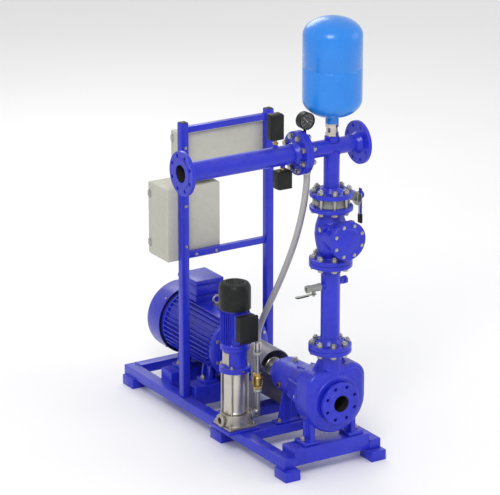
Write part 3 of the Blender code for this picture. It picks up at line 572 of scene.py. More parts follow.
class Shape:
    """A mesh that is put together from closed bodies with bmesh operators."""

    def __init__(self) -> None:
        """Starts empty."""
        self.bm = bmesh.new()

    def take(self, other: bmesh.types.BMesh, place: Matrix | None = None) -> "Shape":
        """Moves another mesh's bodies into this one.

        Args:
            other: the mesh, which is used up.
            place: where its bodies go, if they have to be moved.

        Returns:
            This shape.
        """
        if place is not None:
            bmesh.ops.transform(other, matrix=place, verts=other.verts)
        bmesh.ops.recalc_face_normals(other, faces=other.faces)
        kept = bpy.data.meshes.new("part")
        other.to_mesh(kept)
        other.free()
        self.bm.from_mesh(kept)
        bpy.data.meshes.remove(kept)
        return self

    def box(self, low: Point, high: Point, edge: float = 0, segments: int = 2) -> "Shape":
        """Adds a box.

        Args:
            low: its low corner.
            high: its high corner.
            edge: how much its edges are rounded.
            segments: how many faces each rounding has.

        Returns:
            This shape.
        """
        low, high = Vector(low), Vector(high)
        part = bmesh.new()
        place = Matrix.Translation((low + high) / 2) @ Matrix.Diagonal((*(high - low), 1.0))
        bmesh.ops.create_cube(part, size=1.0, matrix=place)
        soften(part, part.edges[:], edge, segments)
        return self.take(part)

    def rod(self, start: Point, end: Point, radius: float, end_radius: float | None = None,
            sides: int = SMALL_ROUND, edge: float = 0) -> "Shape":
        """Adds a cylinder or a cone.

        Args:
            start: the middle of one end.
            end: the middle of the other end.
            radius: its radius.
            end_radius: the radius at its end, where that differs.
            sides: how many faces it has around.
            edge: how much its rims are rounded.

        Returns:
            This shape.
        """
        start, end = Vector(start), Vector(end)
        length = (end - start).length
        part = bmesh.new()
        bmesh.ops.create_cone(part, cap_ends=True, segments=sides, radius1=radius,
                              radius2=radius if end_radius is None else end_radius, depth=length,
                              matrix=aim(start, end - start) @ Matrix.Translation((0, 0, length / 2)))
        soften(part, [e for e in part.edges if any(len(f.verts) > 4 for f in e.link_faces)], edge, 2)
        return self.take(part)

    def bar(self, base: Vector, way: Vector, near: float, far: float, radius: float,
            sides: int = SMALL_ROUND, edge: float = 0) -> "Shape":
        """Adds a cylinder that lies on a line."""
        return self.rod(base + way * near, base + way * far, radius, sides=sides, edge=edge)

    def turn(self, profile: Profile, start: Point, along: Vector, sides: int = ROUND) -> "Shape":
        """Adds a shape spun from (radius, height) points about the line from start along a way.

        Args:
            profile: an open profile that starts and ends on the axis, or a closed ring.
            start: where height is zero.
            along: the direction in which height grows.
            sides: how many steps the spin has.

        Returns:
            This shape.
        """
        part = bmesh.new()
        verts = [part.verts.new((radius, 0, height)) for radius, height in profile]
        pairs = list(zip(verts, verts[1:]))
        if profile[0][0] > 0:
            pairs.append((verts[-1], verts[0]))
        edges = [part.edges.new(pair) for pair in pairs]
        bmesh.ops.spin(part, geom=verts + edges, cent=(0, 0, 0), axis=Z, angle=math.tau,
                       steps=sides, use_merge=True)
        bmesh.ops.remove_doubles(part, verts=part.verts, dist=1e-6)
        return self.take(part, aim(Vector(start), along))

    def prism(self, outline: Profile, low: float, high: float, axis: Axis,
              edge: float = 0) -> "Shape":
        """Adds an outline that is extruded along an axis.

        Args:
            outline: points of the two other coordinates.
            low: where it starts along the axis.
            high: where it ends.
            axis: the direction.
            edge: how much the edges of its two ends are rounded.

        Returns:
            This shape.
        """
        part = bmesh.new()
        spot = {
            Axis.X: lambda u, v: (low, u, v),
            Axis.Y: lambda u, v: (u, low, v),
            Axis.Z: lambda u, v: (u, v, low),
        }[axis]
        face = part.faces.new([part.verts.new(spot(u, v)) for u, v in outline])
        grown = bmesh.ops.extrude_face_region(part, geom=[face])["geom"]
        ends = [item for item in grown if isinstance(item, bmesh.types.BMVert)]
        bmesh.ops.translate(part, verts=ends, vec=axis.vector * (high - low))
        rims = [e for e in part.edges if abs((e.verts[0].co - e.verts[1].co).dot(axis.vector)) < 1e-7]
        soften(part, rims, edge, 3)
        return self.take(part)

    def nuts(self, faces: Iterable[Vector], way: Vector, size: float, stud: float = 0.4) -> "Shape":
        """Adds a washer, a nut and a stud's end on each of several faces.

        Args:
            faces: where each nut's axis meets its face.
            way: the direction out of the faces.
            size: the thread's nominal diameter.
            stud: how far the stud stands past the nut, in diameters, or zero for a bolt's head.

        Returns:
            This shape.
        """
        washer = 0.18 * size
        height = (0.8 if stud else 0.64) * size
        for face in faces:
            self.bar(face, way, 0, washer, 0.92 * size, sides=20)
            self.bar(face, way, washer, washer + height, 0.86 * size, sides=6, edge=0.06 * size)
            if stud:
                self.bar(face, way, washer, washer + height + stud * size, 0.48 * size, sides=12,
                         edge=0.08 * size)
        return self

    def bolt_pair(self, low: Vector, high: Vector) -> "Shape":
        """Adds the bolts through a pair of flanges.

        Args:
            low: the middle of one flange's outer face.
            high: the middle of the other's.

        Returns:
            This shape.
        """
        way = (high - low).normalized()
        circles = [ring_points(end, way, BOLT_CIRCLE, BOLT_COUNT, 180.0 / BOLT_COUNT)
                   for end in (low, high)]
        for first, second in zip(*circles):
            self.rod(first - way * 0.001, second + way * 0.001, 0.46 * BOLT_SIZE, sides=12)
            self.nuts([first], -way, BOLT_SIZE, 0).nuts([second], way, BOLT_SIZE)
        return self

    def drilled(self, centre: Vector, way: Vector, depth: float = FLANGE_THICK) -> "Shape":
        """Cuts a ring of bolt holes through a flange.

        Args:
            centre: the middle of the flange's face.
            way: the direction into it.
            depth: how thick the flange is.

        Returns:
            This shape.
        """
        tool = Shape()
        for spot in ring_points(centre, way, BOLT_CIRCLE, BOLT_COUNT, 180.0 / BOLT_COUNT):
            tool.bar(spot, way, -HOLE_MARGIN, depth + HOLE_MARGIN, HOLE_RADIUS, sides=20)
        return self.cut(tool)

    def weld(self, start: Point, end: Point, radius: float) -> "Shape":
        """Adds a rippled weld bead along a line.

        Args:
            start: where it starts.
            end: where it ends.
            radius: the bead's radius.

        Returns:
            This shape.
        """
        start, end = Vector(start), Vector(end)
        length = (end - start).length
        ripples = max(4, int(length / 0.006))
        profile = [(0, 0)]
        for number in range(ripples):
            low = length * number / ripples
            step = length / ripples
            profile += [(radius * 0.82, low + step * 0.1), (radius * 1.08, low + step * 0.6)]
        profile.append((0, length))
        return self.turn(profile, start, end - start, sides=8)

    def drops(self, spots: list[Vector], radius: float, end_radius: float) -> "Shape":
        """Adds a closed weld bead, as overlapping drops.

        Args:
            spots: where the drops start.
            radius: a drop's radius.
            end_radius: its radius at the far end.

        Returns:
            This shape.
        """
        for spot, following in zip(spots, spots[1:] + spots[:1]):
            self.rod(spot, spot + (following - spot) * 1.25, radius, end_radius, sides=6)
        return self

    def ring_weld(self, centre: Point, way: Vector, circle: float, radius: float,
                  ripples: int = 60) -> "Shape":
        """Adds a weld bead round a pipe."""
        return self.drops(ring_points(centre, way, circle, ripples), radius * 1.05, radius * 0.75)

    def as_object(self) -> bpy.types.Object:
        """Moves the shape into a temporary object, for modifiers to work on.

        Returns:
            The object.
        """
        mesh = bpy.data.meshes.new("temporary")
        self.bm.to_mesh(mesh)
        self.bm.free()
        made = bpy.data.objects.new("temporary", mesh)
        bpy.context.scene.collection.objects.link(made)
        return made

    def read_back(self, first: bpy.types.Object, *others: bpy.types.Object) -> "Shape":
        """Takes the mesh that a temporary object ends up with, and removes temporary objects.

        Args:
            first: the object that is read.
            others: more objects that aren't needed any longer.

        Returns:
            This shape.
        """
        mesh = bpy.data.meshes.new_from_object(
            first.evaluated_get(bpy.context.evaluated_depsgraph_get()))
        for temp in (first, *others):
            bpy.data.objects.remove(temp, do_unlink=True)
        self.bm = bmesh.new()
        self.bm.from_mesh(mesh)
        bpy.data.meshes.remove(mesh)
        return self

    def fused(self, voxel: float, smooth_steps: int) -> "Shape":
        """Melts the overlapping bodies into one skin with soft fillets, as a casting has.

        Args:
            voxel: the skin's face size.
            smooth_steps: how often it is smoothed.

        Returns:
            This shape.
        """
        temp = self.as_object()
        skin = temp.modifiers.new("skin", "REMESH")
        skin.mode = "VOXEL"
        skin.voxel_size = voxel
        soft = temp.modifiers.new("soft", "SMOOTH")
        soft.factor = 0.5
        soft.iterations = smooth_steps
        return self.read_back(temp)

    def cut(self, tool: "Shape") -> "Shape":
        """Cuts another shape out of this one.

        Args:
            tool: what is cut out.

        Returns:
            This shape.
        """
        kept, removed = self.as_object(), tool.as_object()
        step = kept.modifiers.new("cut", "BOOLEAN")
        step.operation = "DIFFERENCE"
        step.object = removed
        return self.read_back(kept, removed)

    def piece(self, name: str, finish: Finish, node: str = "", body: str = UNIT_BODY,
              sharp_deg: float = 32.0) -> None:
        """Turns the shape into a named piece that rides on a body.

        Args:
            name: the piece's name.
            finish: its surface.
            node: the CAD node that it takes the place of, if any.
            body: the CAD body that carries it.
            sharp_deg: edges above this angle stay crisp.
        """
        mesh = bpy.data.meshes.new(name)
        self.bm.to_mesh(mesh)
        self.bm.free()
        mesh.materials.clear()
        mesh.materials.append(finish.material())
        mesh.shade_smooth()
        mesh.set_sharp_from_angle(angle=math.radians(sharp_deg))
        made = bpy.data.objects.new(name, mesh)
        bpy.context.scene.collection.objects.link(made)
        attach(made, body)
        if node:
            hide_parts(node)
        LOG.info("%s: %d faces", name, len(mesh.polygons))


def soften(part: bmesh.types.BMesh, edges: list[bmesh.types.BMEdge], offset: float,
           segments: int) -> None:
    """Rounds some edges of a mesh."""
    if offset > 0:
        bmesh.ops.bevel(part, geom=edges, offset=offset, offset_type="OFFSET", segments=segments,
                        profile=0.5, affect="EDGES", clamp_overlap=True, material=-1)


def bore_lining_with_painted_shade(start: Vector, way: Vector, radius: float, length: float) -> Shape:
    """The bare inside of a painted pipe, a skin that starts just behind the flange's face; its near-black
    colour is partly painted shade of the deep bore.
    """
    return Shape().turn(ring(radius - 0.0006, radius + 0.0004, 0.003, length), start, way)


@dataclass
class Skid:
    """The open base frame: rails on foot pads, with cross-beams between them."""

    edge: float = 0.0035
    weld_radius: float = 0.003
    weld_inset: float = 0.004
    rails: tuple[str, ...] = ("skid_rail_left", "skid_rail_right")
    beams: tuple[str, ...] = ("pump_pedestal", "bracket_beam", "coupling_beam", "motor_beam_front",
                              "motor_beam_back", "skid_end_beam")
    rail_top: float = 0.1
    pad_height: float = 0.05
    pad_length: float = 0.1
    pad_overhang: float = 0.01
    middle_pad_from_front: float = 0.57

    def build_rail(self, node: str) -> None:
        """Makes one rail with its pads and welds.

        Args:
            node: the rail's CAD node.
        """
        low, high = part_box(node)
        inner_x, outer_x = low.x + self.pad_overhang, high.x - self.pad_overhang
        front = low.y + self.pad_overhang * 3
        shape = Shape().box((inner_x, front, self.pad_height), (outer_x, high.y, high.z), self.edge, 3)
        for start in (low.y, low.y + self.middle_pad_from_front, high.y - self.pad_length):
            end = start + self.pad_length
            shape.box((low.x, start, 0), (high.x, end, self.pad_height), 0.002)
            for side in (inner_x, outer_x):
                shape.weld((side, max(start, front) + self.weld_inset, self.pad_height),
                           (side, end - self.weld_inset, self.pad_height), self.weld_radius)
        shape.piece(node + "_steel", BLUE, node)

    def build_beam(self, node: str) -> None:
        """Makes one cross-beam as a closed section with welds at both ends.

        Args:
            node: the beam's CAD node.
        """
        low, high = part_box(node)
        shape = Shape().box(low, high, 0.004, 3)
        for x in (low.x + 0.0008, high.x - 0.0008):
            for y in (low.y, high.y):
                if CAD_BOUNDS[0].y < y < CAD_BOUNDS[1].y - self.weld_radius:
                    shape.weld((x, y, low.z + 0.006), (x, y, self.rail_top - 0.008), self.weld_radius)
            shape.weld((x, low.y + self.weld_inset, self.rail_top),
                       (x, high.y - self.weld_inset, self.rail_top), self.weld_radius)
        shape.piece(node + "_steel", BLUE, node)

    def build(self) -> None:
        """Makes every member of the frame."""
        for node in self.rails:
            self.build_rail(node)
        for node in self.beams:
            self.build_beam(node)


@dataclass
class MainPump:
    """The end suction pump: scroll casing, suction and discharge flanges, and bearing bracket."""

    port_bore: float = 0.04
    voxel: float = 0.0026

    def __post_init__(self) -> None:
        """Reads the casing's and bracket's places from the CAD nodes."""
        self.low, self.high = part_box("pump_casing")
        shaft, self.riser = middle("shaft_coupling"), middle("riser_pipe")
        self.x, self.y, self.z = shaft.x, self.riser.y, shaft.z
        self.face = Vector((self.x, self.low.y, self.z))
        self.axis = Vector((self.x, self.y, self.z))
        bracket_low, bracket_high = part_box("bearing_bracket")
        self.cover_y, self.foot_z = bracket_low.y, bracket_low.z
        self.start, self.end = self.cover_y - self.y, bracket_high.y - self.y

    def scroll_outline(self, right: float, left: float, corner: float) -> Profile:
        """The scroll seen along the shaft: a spiral below and two shoulders above.

        Args:
            right: how far it reaches to the right.
            left: how far it reaches to the left.
            corner: the radius of its shoulders.

        Returns:
            The outline.
        """
        points = arc((0, 0), left, 180, 360, 48, right)
        points += arc((right - corner, right - corner), corner, 0, 90, 12)
        points += arc((corner - left, left - corner), corner, 90, 180, 12)
        return [(x + self.x, z + self.z) for x, z in points]

    def build_casing(self) -> None:
        """Makes the casting: scroll, neck, suction nozzle, feet and ribs."""
        face, x, y, z, floor, top = self.face, self.x, self.y, self.z, self.low.z, self.high.z
        front, back = y - 0.055, self.cover_y - JOINT_GAP
        neck = Vector((self.riser.x, y, z))
        shape = Shape()
        shape.prism(self.scroll_outline(0.165, 0.152, 0.07), front, back, Axis.Y, 0.02)
        shape.prism(self.scroll_outline(0.156, 0.143, 0.066), front - 0.006, back, Axis.Y, 0.024)
        shape.rod(face + Y * 0.01, face + Y * 0.06, 0.056, 0.092)
        shape.bar(face, Y, 0.034, 0.062, 0.118, sides=ROUND)
        shape.turn(disc(FLANGE_RADIUS, 0.002, 0.022), face, Y)
        shape.rod(neck + Z * 0.1, neck + Z * 0.18, 0.066, 0.054)
        shape.rod(neck + Z * 0.1, (neck.x, y, top - 0.006), 0.054)
        shape.turn(disc(FLANGE_RADIUS, 0, FLANGE_THICK), (neck.x, y, top - FLANGE_THICK), Z)
        for side in SIDES:
            inner, outer = sorted((side * 0.08, side * 0.165))
            leg = x + side * 0.112
            shape.box((x + inner, y - 0.045, floor), (x + outer, y + 0.045, floor + 0.018), 0.004)
            shape.box((leg - 0.013, y - 0.036, floor + 0.008), (leg + 0.013, y + 0.036, z - 0.08), 0.005)
            shape.box((leg - 0.03, y - 0.008, floor + 0.008), (leg + 0.03, y + 0.008, z - 0.09), 0.003)
            shape.prism([(neck.x + side * 0.04, z + 0.15), (neck.x + side * 0.095, z + 0.15),
                         (neck.x + side * 0.048, top - 0.024)], y - 0.006, y + 0.006, Axis.Y)
        shape.fused(self.voxel, 3)
        bore = Shape().turn([(0, -0.012), (self.port_bore, -0.012), (self.port_bore, 0.07),
                             (0.03, 0.11), (0, 0.11)], face, Y)
        for spot in ring_points(face, Y, BOLT_CIRCLE, BOLT_COUNT, 22.5):
            bore.bar(spot, Y, -HOLE_MARGIN, 0.0235, HOLE_RADIUS, sides=20)
        shape.cut(bore).piece("pump_casing_casting", CAST_BLUE, "pump_casing", sharp_deg=50)

        Shape().turn(disc(0.0665, 0, 0.008, bore=self.port_bore + 0.0005), face, Y).piece(
            "suction_flange_face", CAST_BLUE)
        # dark skin and closed end inside the suction bore: bare iron, made near black as painted shade of
        # the deep port
        Shape().turn([(0, 0.1104), (0.0304, 0.1104), (0.0404, 0.07), (0.0404, 0.003),
                      (0.0394, 0.003), (0.0394, 0.0696), (0.0296, 0.1092), (0, 0.1092)],
                     face, Y).piece("suction_bore_iron_and_painted_shade", BARE_IRON_AND_BORE_SHADE)

    def build_impeller_eye(self) -> None:
        """Makes the hub and vanes that show inside the suction port."""
        base = self.face + Y * 0.086
        shape = Shape().turn([(0, -0.024), (0.008, -0.022), (0.011, -0.014), (0.012, 0), (0, 0)],
                             base, Y, SMALL_ROUND)
        for spot in ring_points(base, Y, 0.021, 6):
            radial = (spot - base).normalized()
            turn = Y.cross(radial)
            tilt = Matrix((radial, (Y * 0.9 + turn * 0.5).normalized(), turn)).transposed().to_4x4()
            blade = Shape().box((-0.011, -0.01, -0.001), (0.011, 0.01, 0.001))
            shape.take(blade.bm, Matrix.Translation(spot) @ tilt)
        shape.piece("impeller_eye", BRASS)

    def build_bracket(self) -> None:
        """Makes the lantern and bearing housing with ribs and foot."""
        x, y, z, floor, start, end = self.x, self.y, self.z, self.foot_z, self.start, self.end
        shape = Shape().turn([
            (0, start), (0.1435, start), (0.145, start + 0.002), (0.145, start + 0.017),
            (0.1435, start + 0.019), (0.12, 0.084), (0.114, 0.096), (0.108, 0.17), (0.098, 0.2),
            (0.091, 0.22), (0.086, 0.3), (0.085, 0.362), (0.078, 0.378), (0.062, 0.382),
            (0.06, 0.39), (0.06, end - 0.002), (0.058, end), (0, end)], self.axis, Y)
        for number in range(8):
            rib = Shape().prism([(0.08, 0.082), (0.138, 0.082), (0.118, 0.13), (0.104, 0.215),
                                 (0.08, 0.215)], -0.004, 0.004, Axis.Z)
            shape.take(rib.bm, outward(self.axis, ray(math.radians(22.5 + 45.0 * number))))
        shape.prism([(x - 0.06, floor + 0.006), (x + 0.06, floor + 0.006), (x + 0.034, z - 0.08),
                     (x - 0.034, z - 0.08)], y + 0.342, y + 0.356, Axis.Y)
        shape.box((x - 0.08, y + 0.325, floor), (x + 0.08, y + 0.375, floor + 0.012), 0.003)
        shape.box((x - 0.006, y + 0.33, floor + 0.006), (x + 0.006, y + 0.372, z - 0.082), 0.002)
        shape.fused(self.voxel, 2).piece("bearing_bracket_casting", CAST_BLUE, "bearing_bracket",
                                         sharp_deg=50)

    def build_fittings(self) -> None:
        """Makes the pump's nuts, its filler cap, its drain plug and its sight glass."""
        x, y, z = self.x, self.y, self.z
        cap, drain = Vector((x, y + 0.29, z + 0.088)), Vector((x, y, z - 0.158))
        small = Shape()
        small.nuts(ring_points(self.axis + Y * (self.start + 0.019), Y, 0.133, 8), Y, 0.012, 0.5)
        small.nuts(ring_points(self.axis + Y * self.end, Y, 0.047, 6, 30), Y, 0.008, 0)
        small.bar(cap, Z, -0.006, 0.004, 0.015)
        small.bar(cap, Z, 0.004, 0.018, 0.011, sides=6, edge=0.001)
        small.bar(drain, Z, 0.01, -0.008, 0.011, sides=6)
        small.nuts([Vector((x + side * 0.145, y, self.low.z + 0.018)) for side in SIDES], Z, 0.014, 0.5)
        small.nuts([Vector((x + side * 0.062, y + 0.334, self.foot_z + 0.012)) for side in SIDES], Z,
                   0.012, 0.5)
        small.piece("pump_bolts", ZINC)
        spot = Vector((x - 0.084, y + 0.3, z - 0.018))
        Shape().bar(spot, X, 0, -0.007, 0.014, edge=0.0015).piece("oil_sight_ring", BRASS)
        Shape().bar(spot, X, -0.0065, -0.0085, 0.009).piece("oil_sight_lens", RUBBER)

    def build(self) -> None:
        """Makes the pump."""
        self.build_casing()
        self.build_impeller_eye()
        self.build_bracket()
        self.build_fittings()


@dataclass
class Coupling:
    """The spacer coupling and the sheet guard over it."""

    wall: float = 0.004
    hub_length: float = 0.05
    hub_starts: tuple[float, float] = (0.0597, 0.2397)
    slot_pitch: float = 0.045

    def build_coupling(self) -> None:
        """Makes both hubs, the spacer and the shaft ends."""
        low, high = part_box("shaft_coupling")
        axis = Vector((middle("shaft_coupling").x, 0, middle("shaft_coupling").z))
        hub = (high.x - low.x) / 2
        near, far, long = low.y, high.y, self.hub_length
        front, back = (near + start for start in self.hub_starts)
        shape = Shape().turn([
            (0, near), (0.016, near), (0.016, front), *rim(hub, front, front + long, 0.002),
            (0.03, front + 0.052), (0.03, back - 0.002), *rim(hub, back, back + long, 0.002),
            (0.021, back + long), (0.021, far), (0, far)], axis, Y)
        for start, way in ((front + 0.051, Y), (back - 0.001, -Y)):
            shape.nuts(ring_points(axis + Y * start, way, 0.037, 6), way, 0.006, 0.3)
        shape.piece("coupling_hubs", TURNED, "shaft_coupling")

    def build_guard(self) -> None:
        """Makes the bent sheet with rolled edges and its bolts."""
        low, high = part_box("coupling_guard")
        x, z, floor = middle("coupling_guard").x, middle("shaft_coupling").z, low.z
        radius, wide = high.z - z, (high.x - low.x) / 2
        inside, sheet = radius - self.wall, floor + self.wall
        outline = [(x + radius, sheet), (x + radius, z), *arc((x, z), radius, 0, 180, 40)[1:],
                   (x - radius, sheet), (x - wide, sheet), (x - wide, floor), (x - inside, floor),
                   (x - inside, z), *arc((x, z), inside, 180, 0, 40)[1:], (x + inside, floor),
                   (x + wide, floor), (x + wide, sheet)]
        slots = Shape()
        for side in SIDES:
            for number in range(5):
                y = low.y + 0.045 + self.slot_pitch * number
                slots.box((x + side * radius - 0.01, y - 0.012, z - 0.085),
                          (x + side * radius + 0.01, y + 0.012, z - 0.02), 0.006, 3)
        Shape().prism(outline, low.y, high.y, Axis.Y).cut(slots).piece("coupling_guard_sheet", GREY,
                                                                       "coupling_guard")
        beam = middle("coupling_beam").y
        spots = [Vector((x + side * (wide - 0.012), beam, sheet)) for side in SIDES]
        Shape().nuts(spots, Z, 0.008, 0).piece("guard_bolts", ZINC)

    def build(self) -> None:
        """Makes the coupling and its guard."""
        self.build_coupling()
        self.build_guard()


@dataclass
class MainMotor:
    """The totally enclosed motor: ribbed frame, end shields, feet, cowl and terminal box."""

    radius: float = 0.172
    fin_count: int = 44
    fin_depth: float = 0.02
    fin_thick: float = 0.0042
    grille_rings: int = 7
    spokes: int = 8
    beams: tuple[str, ...] = ("motor_beam_front", "motor_beam_back")

    def __post_init__(self) -> None:
        """Reads the motor's axis and size from the CAD nodes."""
        self.low, self.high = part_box("motor_frame")
        self.box_low, self.box_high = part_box("motor_terminal_box")
        self.x, self.z = middle("motor_frame").x, middle("shaft_coupling").z
        self.axis = Vector((self.x, 0, self.z))
        self.core = self.radius - self.fin_depth

    def add_feet(self, shape: Shape) -> None:
        """Adds the four feet, each a sole with two webs and a gusset.

        Args:
            shape: the motor's frame.
        """
        x, z, sole = self.x, self.z, self.low.z
        for side in SIDES:
            inner, outer = sorted((side * 0.095, side * 0.165))
            web = [(x + side * 0.1, sole + 0.01), (x + side * 0.142, sole + 0.01),
                   (x + side * 0.128, z - 0.075), (x + side * 0.1, z - 0.075)]
            leg = x + side * 0.112
            for beam in self.beams:
                front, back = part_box(beam)[0].y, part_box(beam)[1].y
                shape.box((x + inner, front + 0.006, sole), (x + outer, back - 0.006, sole + 0.018), 0.004)
                shape.prism(web, front + 0.014, front + 0.024, Axis.Y)
                shape.prism(web, back - 0.024, back - 0.014, Axis.Y)
                shape.box((leg - 0.01, front + 0.014, sole + 0.01),
                          (leg + 0.01, back - 0.014, z - 0.085), 0.003)

    def build_frame(self) -> None:
        """Makes the ribbed stator frame with its shields, feet, pad and lifting eye."""
        radius, core, y0, y1 = self.radius, self.core, self.low.y, self.high.y
        shape = Shape().turn([
            (0, y0), (0.03, y0), (0.03, y0 + 0.006), (0.06, y0 + 0.006), (0.064, y0 + 0.01),
            (0.07, y0 + 0.018), (core - 0.022, y0 + 0.026), (core + 0.004, y0 + 0.034),
            (core + 0.01, y0 + 0.04), (core + 0.01, y0 + 0.058), (core, y0 + 0.06),
            (core, y1 - 0.026), (core + 0.01, y1 - 0.024), (core + 0.01, y1), (0, y1)],
            self.axis, Y)
        fin_outline = [(core - 0.004, y0 + 0.062), (radius - 0.004, y0 + 0.062), (radius, y0 + 0.068),
                       (radius, y1 - 0.034), (radius - 0.004, y1 - 0.028), (core - 0.004, y1 - 0.028)]
        for number in range(self.fin_count):
            angle = math.tau * (number + 0.5) / self.fin_count
            lean = math.degrees(angle)
            if 62.0 < lean < 118.0 or 215.0 < lean < 255.0 or 285.0 < lean < 325.0:
                continue
            fin = Shape().prism(fin_outline, -self.fin_thick / 2, self.fin_thick / 2, Axis.Z)
            shape.take(fin.bm, outward(self.axis, ray(angle)))
        self.add_feet(shape)
        shape.box((self.x - 0.07, self.box_low.y + 0.02, self.z + 0.12),
                  (self.x + 0.07, self.box_high.y - 0.02, self.box_low.z - JOINT_GAP), 0.006, 3)
        shape.piece("motor_ribbed_frame", BLUE, "motor_frame")

        feet = [Vector((self.x + side * 0.152, middle(beam).y, self.low.z + 0.018))
                for side in SIDES for beam in self.beams]
        shield = ring_points(self.axis + Y * (y0 + 0.03), Y, core - 0.01, 8, 22.5)
        Shape().nuts(feet, Z, 0.014, 0.5).nuts(shield, -Y, 0.01, 0).piece("motor_bolts", ZINC)

        eye = Vector((self.x, self.box_low.y - 0.06, self.z + core))
        wire = [(0.019 + u, v) for u, v in arc((0, 0), 0.0055, 0, 360, 14)[:-1]]
        Shape().bar(eye, Z, -0.006, 0.01, 0.017).turn(wire, eye + Z * 0.03, Y, 36).piece(
            "motor_lifting_eye", ZINC)

    def build_cowl(self) -> None:
        """Makes the fan cowl with its slotted end, its screws and the fan behind it."""
        low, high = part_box("motor_fan_cowl")
        radius, start, end, wall = (high.x - low.x) / 2, low.y, high.y, 0.003
        shape = Shape().turn([
            (radius - wall, start), (radius, start), (radius, end - 0.034),
            (radius - 0.003, end - 0.022), (radius - 0.012, end - 0.008), (radius - 0.026, end),
            (radius - 0.05, end), (radius - 0.05, end - wall), (radius - 0.027, end - wall),
            (radius - 0.015, end - 0.011), (radius - wall - 0.003, end - 0.024),
            (radius - wall, end - 0.036)], self.axis, Y)
        wire, step = 0.0032, (radius - 0.052) / self.grille_rings
        for number in range(1, self.grille_rings + 1):
            shape.turn(ring(number * step - wire, number * step + wire, end - wall, end - 0.0005),
                       self.axis, Y)
        grille = self.axis + Y * (end - 0.0025)
        for number in range(self.spokes):
            angle = math.tau * (number + 0.5) / self.spokes
            shape.bar(grille, ray(angle), 0.008, radius - 0.04, 0.0024,
                      sides=8)
        shape.bar(self.axis, Y, end - 0.006, end - 0.0003, 0.02, edge=0.001)
        shape.piece("motor_cowl_sheet", SHEET_BLUE, "motor_fan_cowl")

        hub = self.axis + Y * (start + 0.006)
        fan_radius = radius - wall - 0.0005
        fan = Shape().turn([(0, -0.004), (fan_radius, -0.004), (fan_radius, 0), (0.034, 0.002),
                            (0.03, 0.07), (0, 0.072)], hub, Y, 48)
        for spot in ring_points(hub, Y, 0.085, 9):
            blade = Shape().box((0.028, 0, -0.0015), (radius - 0.024, 0.064, 0.0015))
            fan.take(blade.bm, outward(hub, (spot - hub).normalized()))
        fan.piece("motor_fan", BLACK)

        small = Shape()
        for spot in ring_points(self.axis + Y * (start + 0.016), Y, radius, 4, 45):
            slant = (spot - self.axis).normalized()
            out = Vector((slant.x, 0, slant.z))
            small.rod(spot - out * 0.001, spot + out.normalized() * 0.004, 0.006, sides=16, edge=0.001)
        small.piece("motor_cowl_screws", ZINC)

    def build_terminal_box(self) -> None:
        """Makes the terminal box with its lid, screws and two cable glands."""
        low, high = self.box_low, self.box_high
        seam = high.z - 0.022
        shape = Shape().box((low.x + 0.004, low.y + 0.004, low.z), (high.x - 0.004, high.y - 0.004, seam),
                            0.01, 3)
        shape.box((low.x, low.y, seam - 0.002), (high.x, high.y, high.z), 0.007, 3)
        shape.piece("motor_terminal_housing", BLUE, "motor_terminal_box")
        small, glands = Shape(), Shape()
        for x in (low.x + 0.014, high.x - 0.014):
            for y in (low.y + 0.014, high.y - 0.014):
                small.rod((x, y, high.z - 0.004), (x, y, high.z - 0.0005), 0.0052, sides=16)
        small.piece("motor_terminal_screws", ZINC)
        for y in (low.y + 0.06, high.y - 0.06):
            spot = Vector((high.x - 0.004, y, low.z + 0.026))
            glands.bar(spot, X, -0.004, 0.003, 0.017, sides=6)
            glands.bar(spot, X, 0, 0.018, 0.014, edge=0.002)
        glands.piece("motor_cable_glands", BLACK)

    def build(self) -> None:
        """Makes the motor."""
        self.build_frame()
        self.build_cowl()
        self.build_terminal_box()


@dataclass
class RiserPipe:
    """The flanged pipe above the pump, with its plug and the tap's boss."""

    plug_z: float = 0.896
    tap_z: float = 0.885

    def build(self) -> None:
        """Makes the pipe, its weld-neck flanges, bosses and welds, and the bolts at its foot."""
        low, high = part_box("riser_pipe")
        foot = Vector((middle("check_valve_body").x, middle("riser_pipe").y, low.z))
        height, pipe, thick = high.z - low.z, PIPE_RADIUS, FLANGE_THICK
        half = [(0, 0), *rim(FLANGE_RADIUS, 0, thick), (0.06, thick), (0.057, thick + 0.003),
                (pipe + 0.001, thick + 0.026), (pipe, thick + 0.03)]
        shape = Shape().turn(ended(half, half, height), foot, Z)
        boss, tap = Vector((foot.x, foot.y, self.plug_z)), Vector((foot.x, foot.y, self.tap_z))
        shape.bar(boss, X, 0.02, 0.068, 0.017, edge=0.001)
        shape.bar(tap, X, -0.02, -0.056, 0.014, edge=0.001)
        shape.ring_weld(boss + X * (pipe - 0.002), X, 0.019, 0.0028, 24)
        shape.ring_weld(tap - X * (pipe - 0.002), -X, 0.016, 0.0028, 20)
        for level in (thick + 0.03, height - thick - 0.03):
            shape.ring_weld(foot + Z * level, Z, pipe, 0.0026)
        shape.piece("riser_steel", BLUE, "riser_pipe")
        Shape().bar(boss, X, 0.066, 0.07, 0.0185).bar(boss, X, 0.07, 0.085, 0.02, 6, 0.0015).piece(
            "riser_plug", BLUE)
        Shape().bolt_pair(foot - Z * thick, foot + Z * thick).piece("discharge_flange_bolts", ZINC)
        Shape().turn(ring(*GASKET, -0.0016, 0.0016), foot, Z).piece("discharge_gasket", RUBBER)


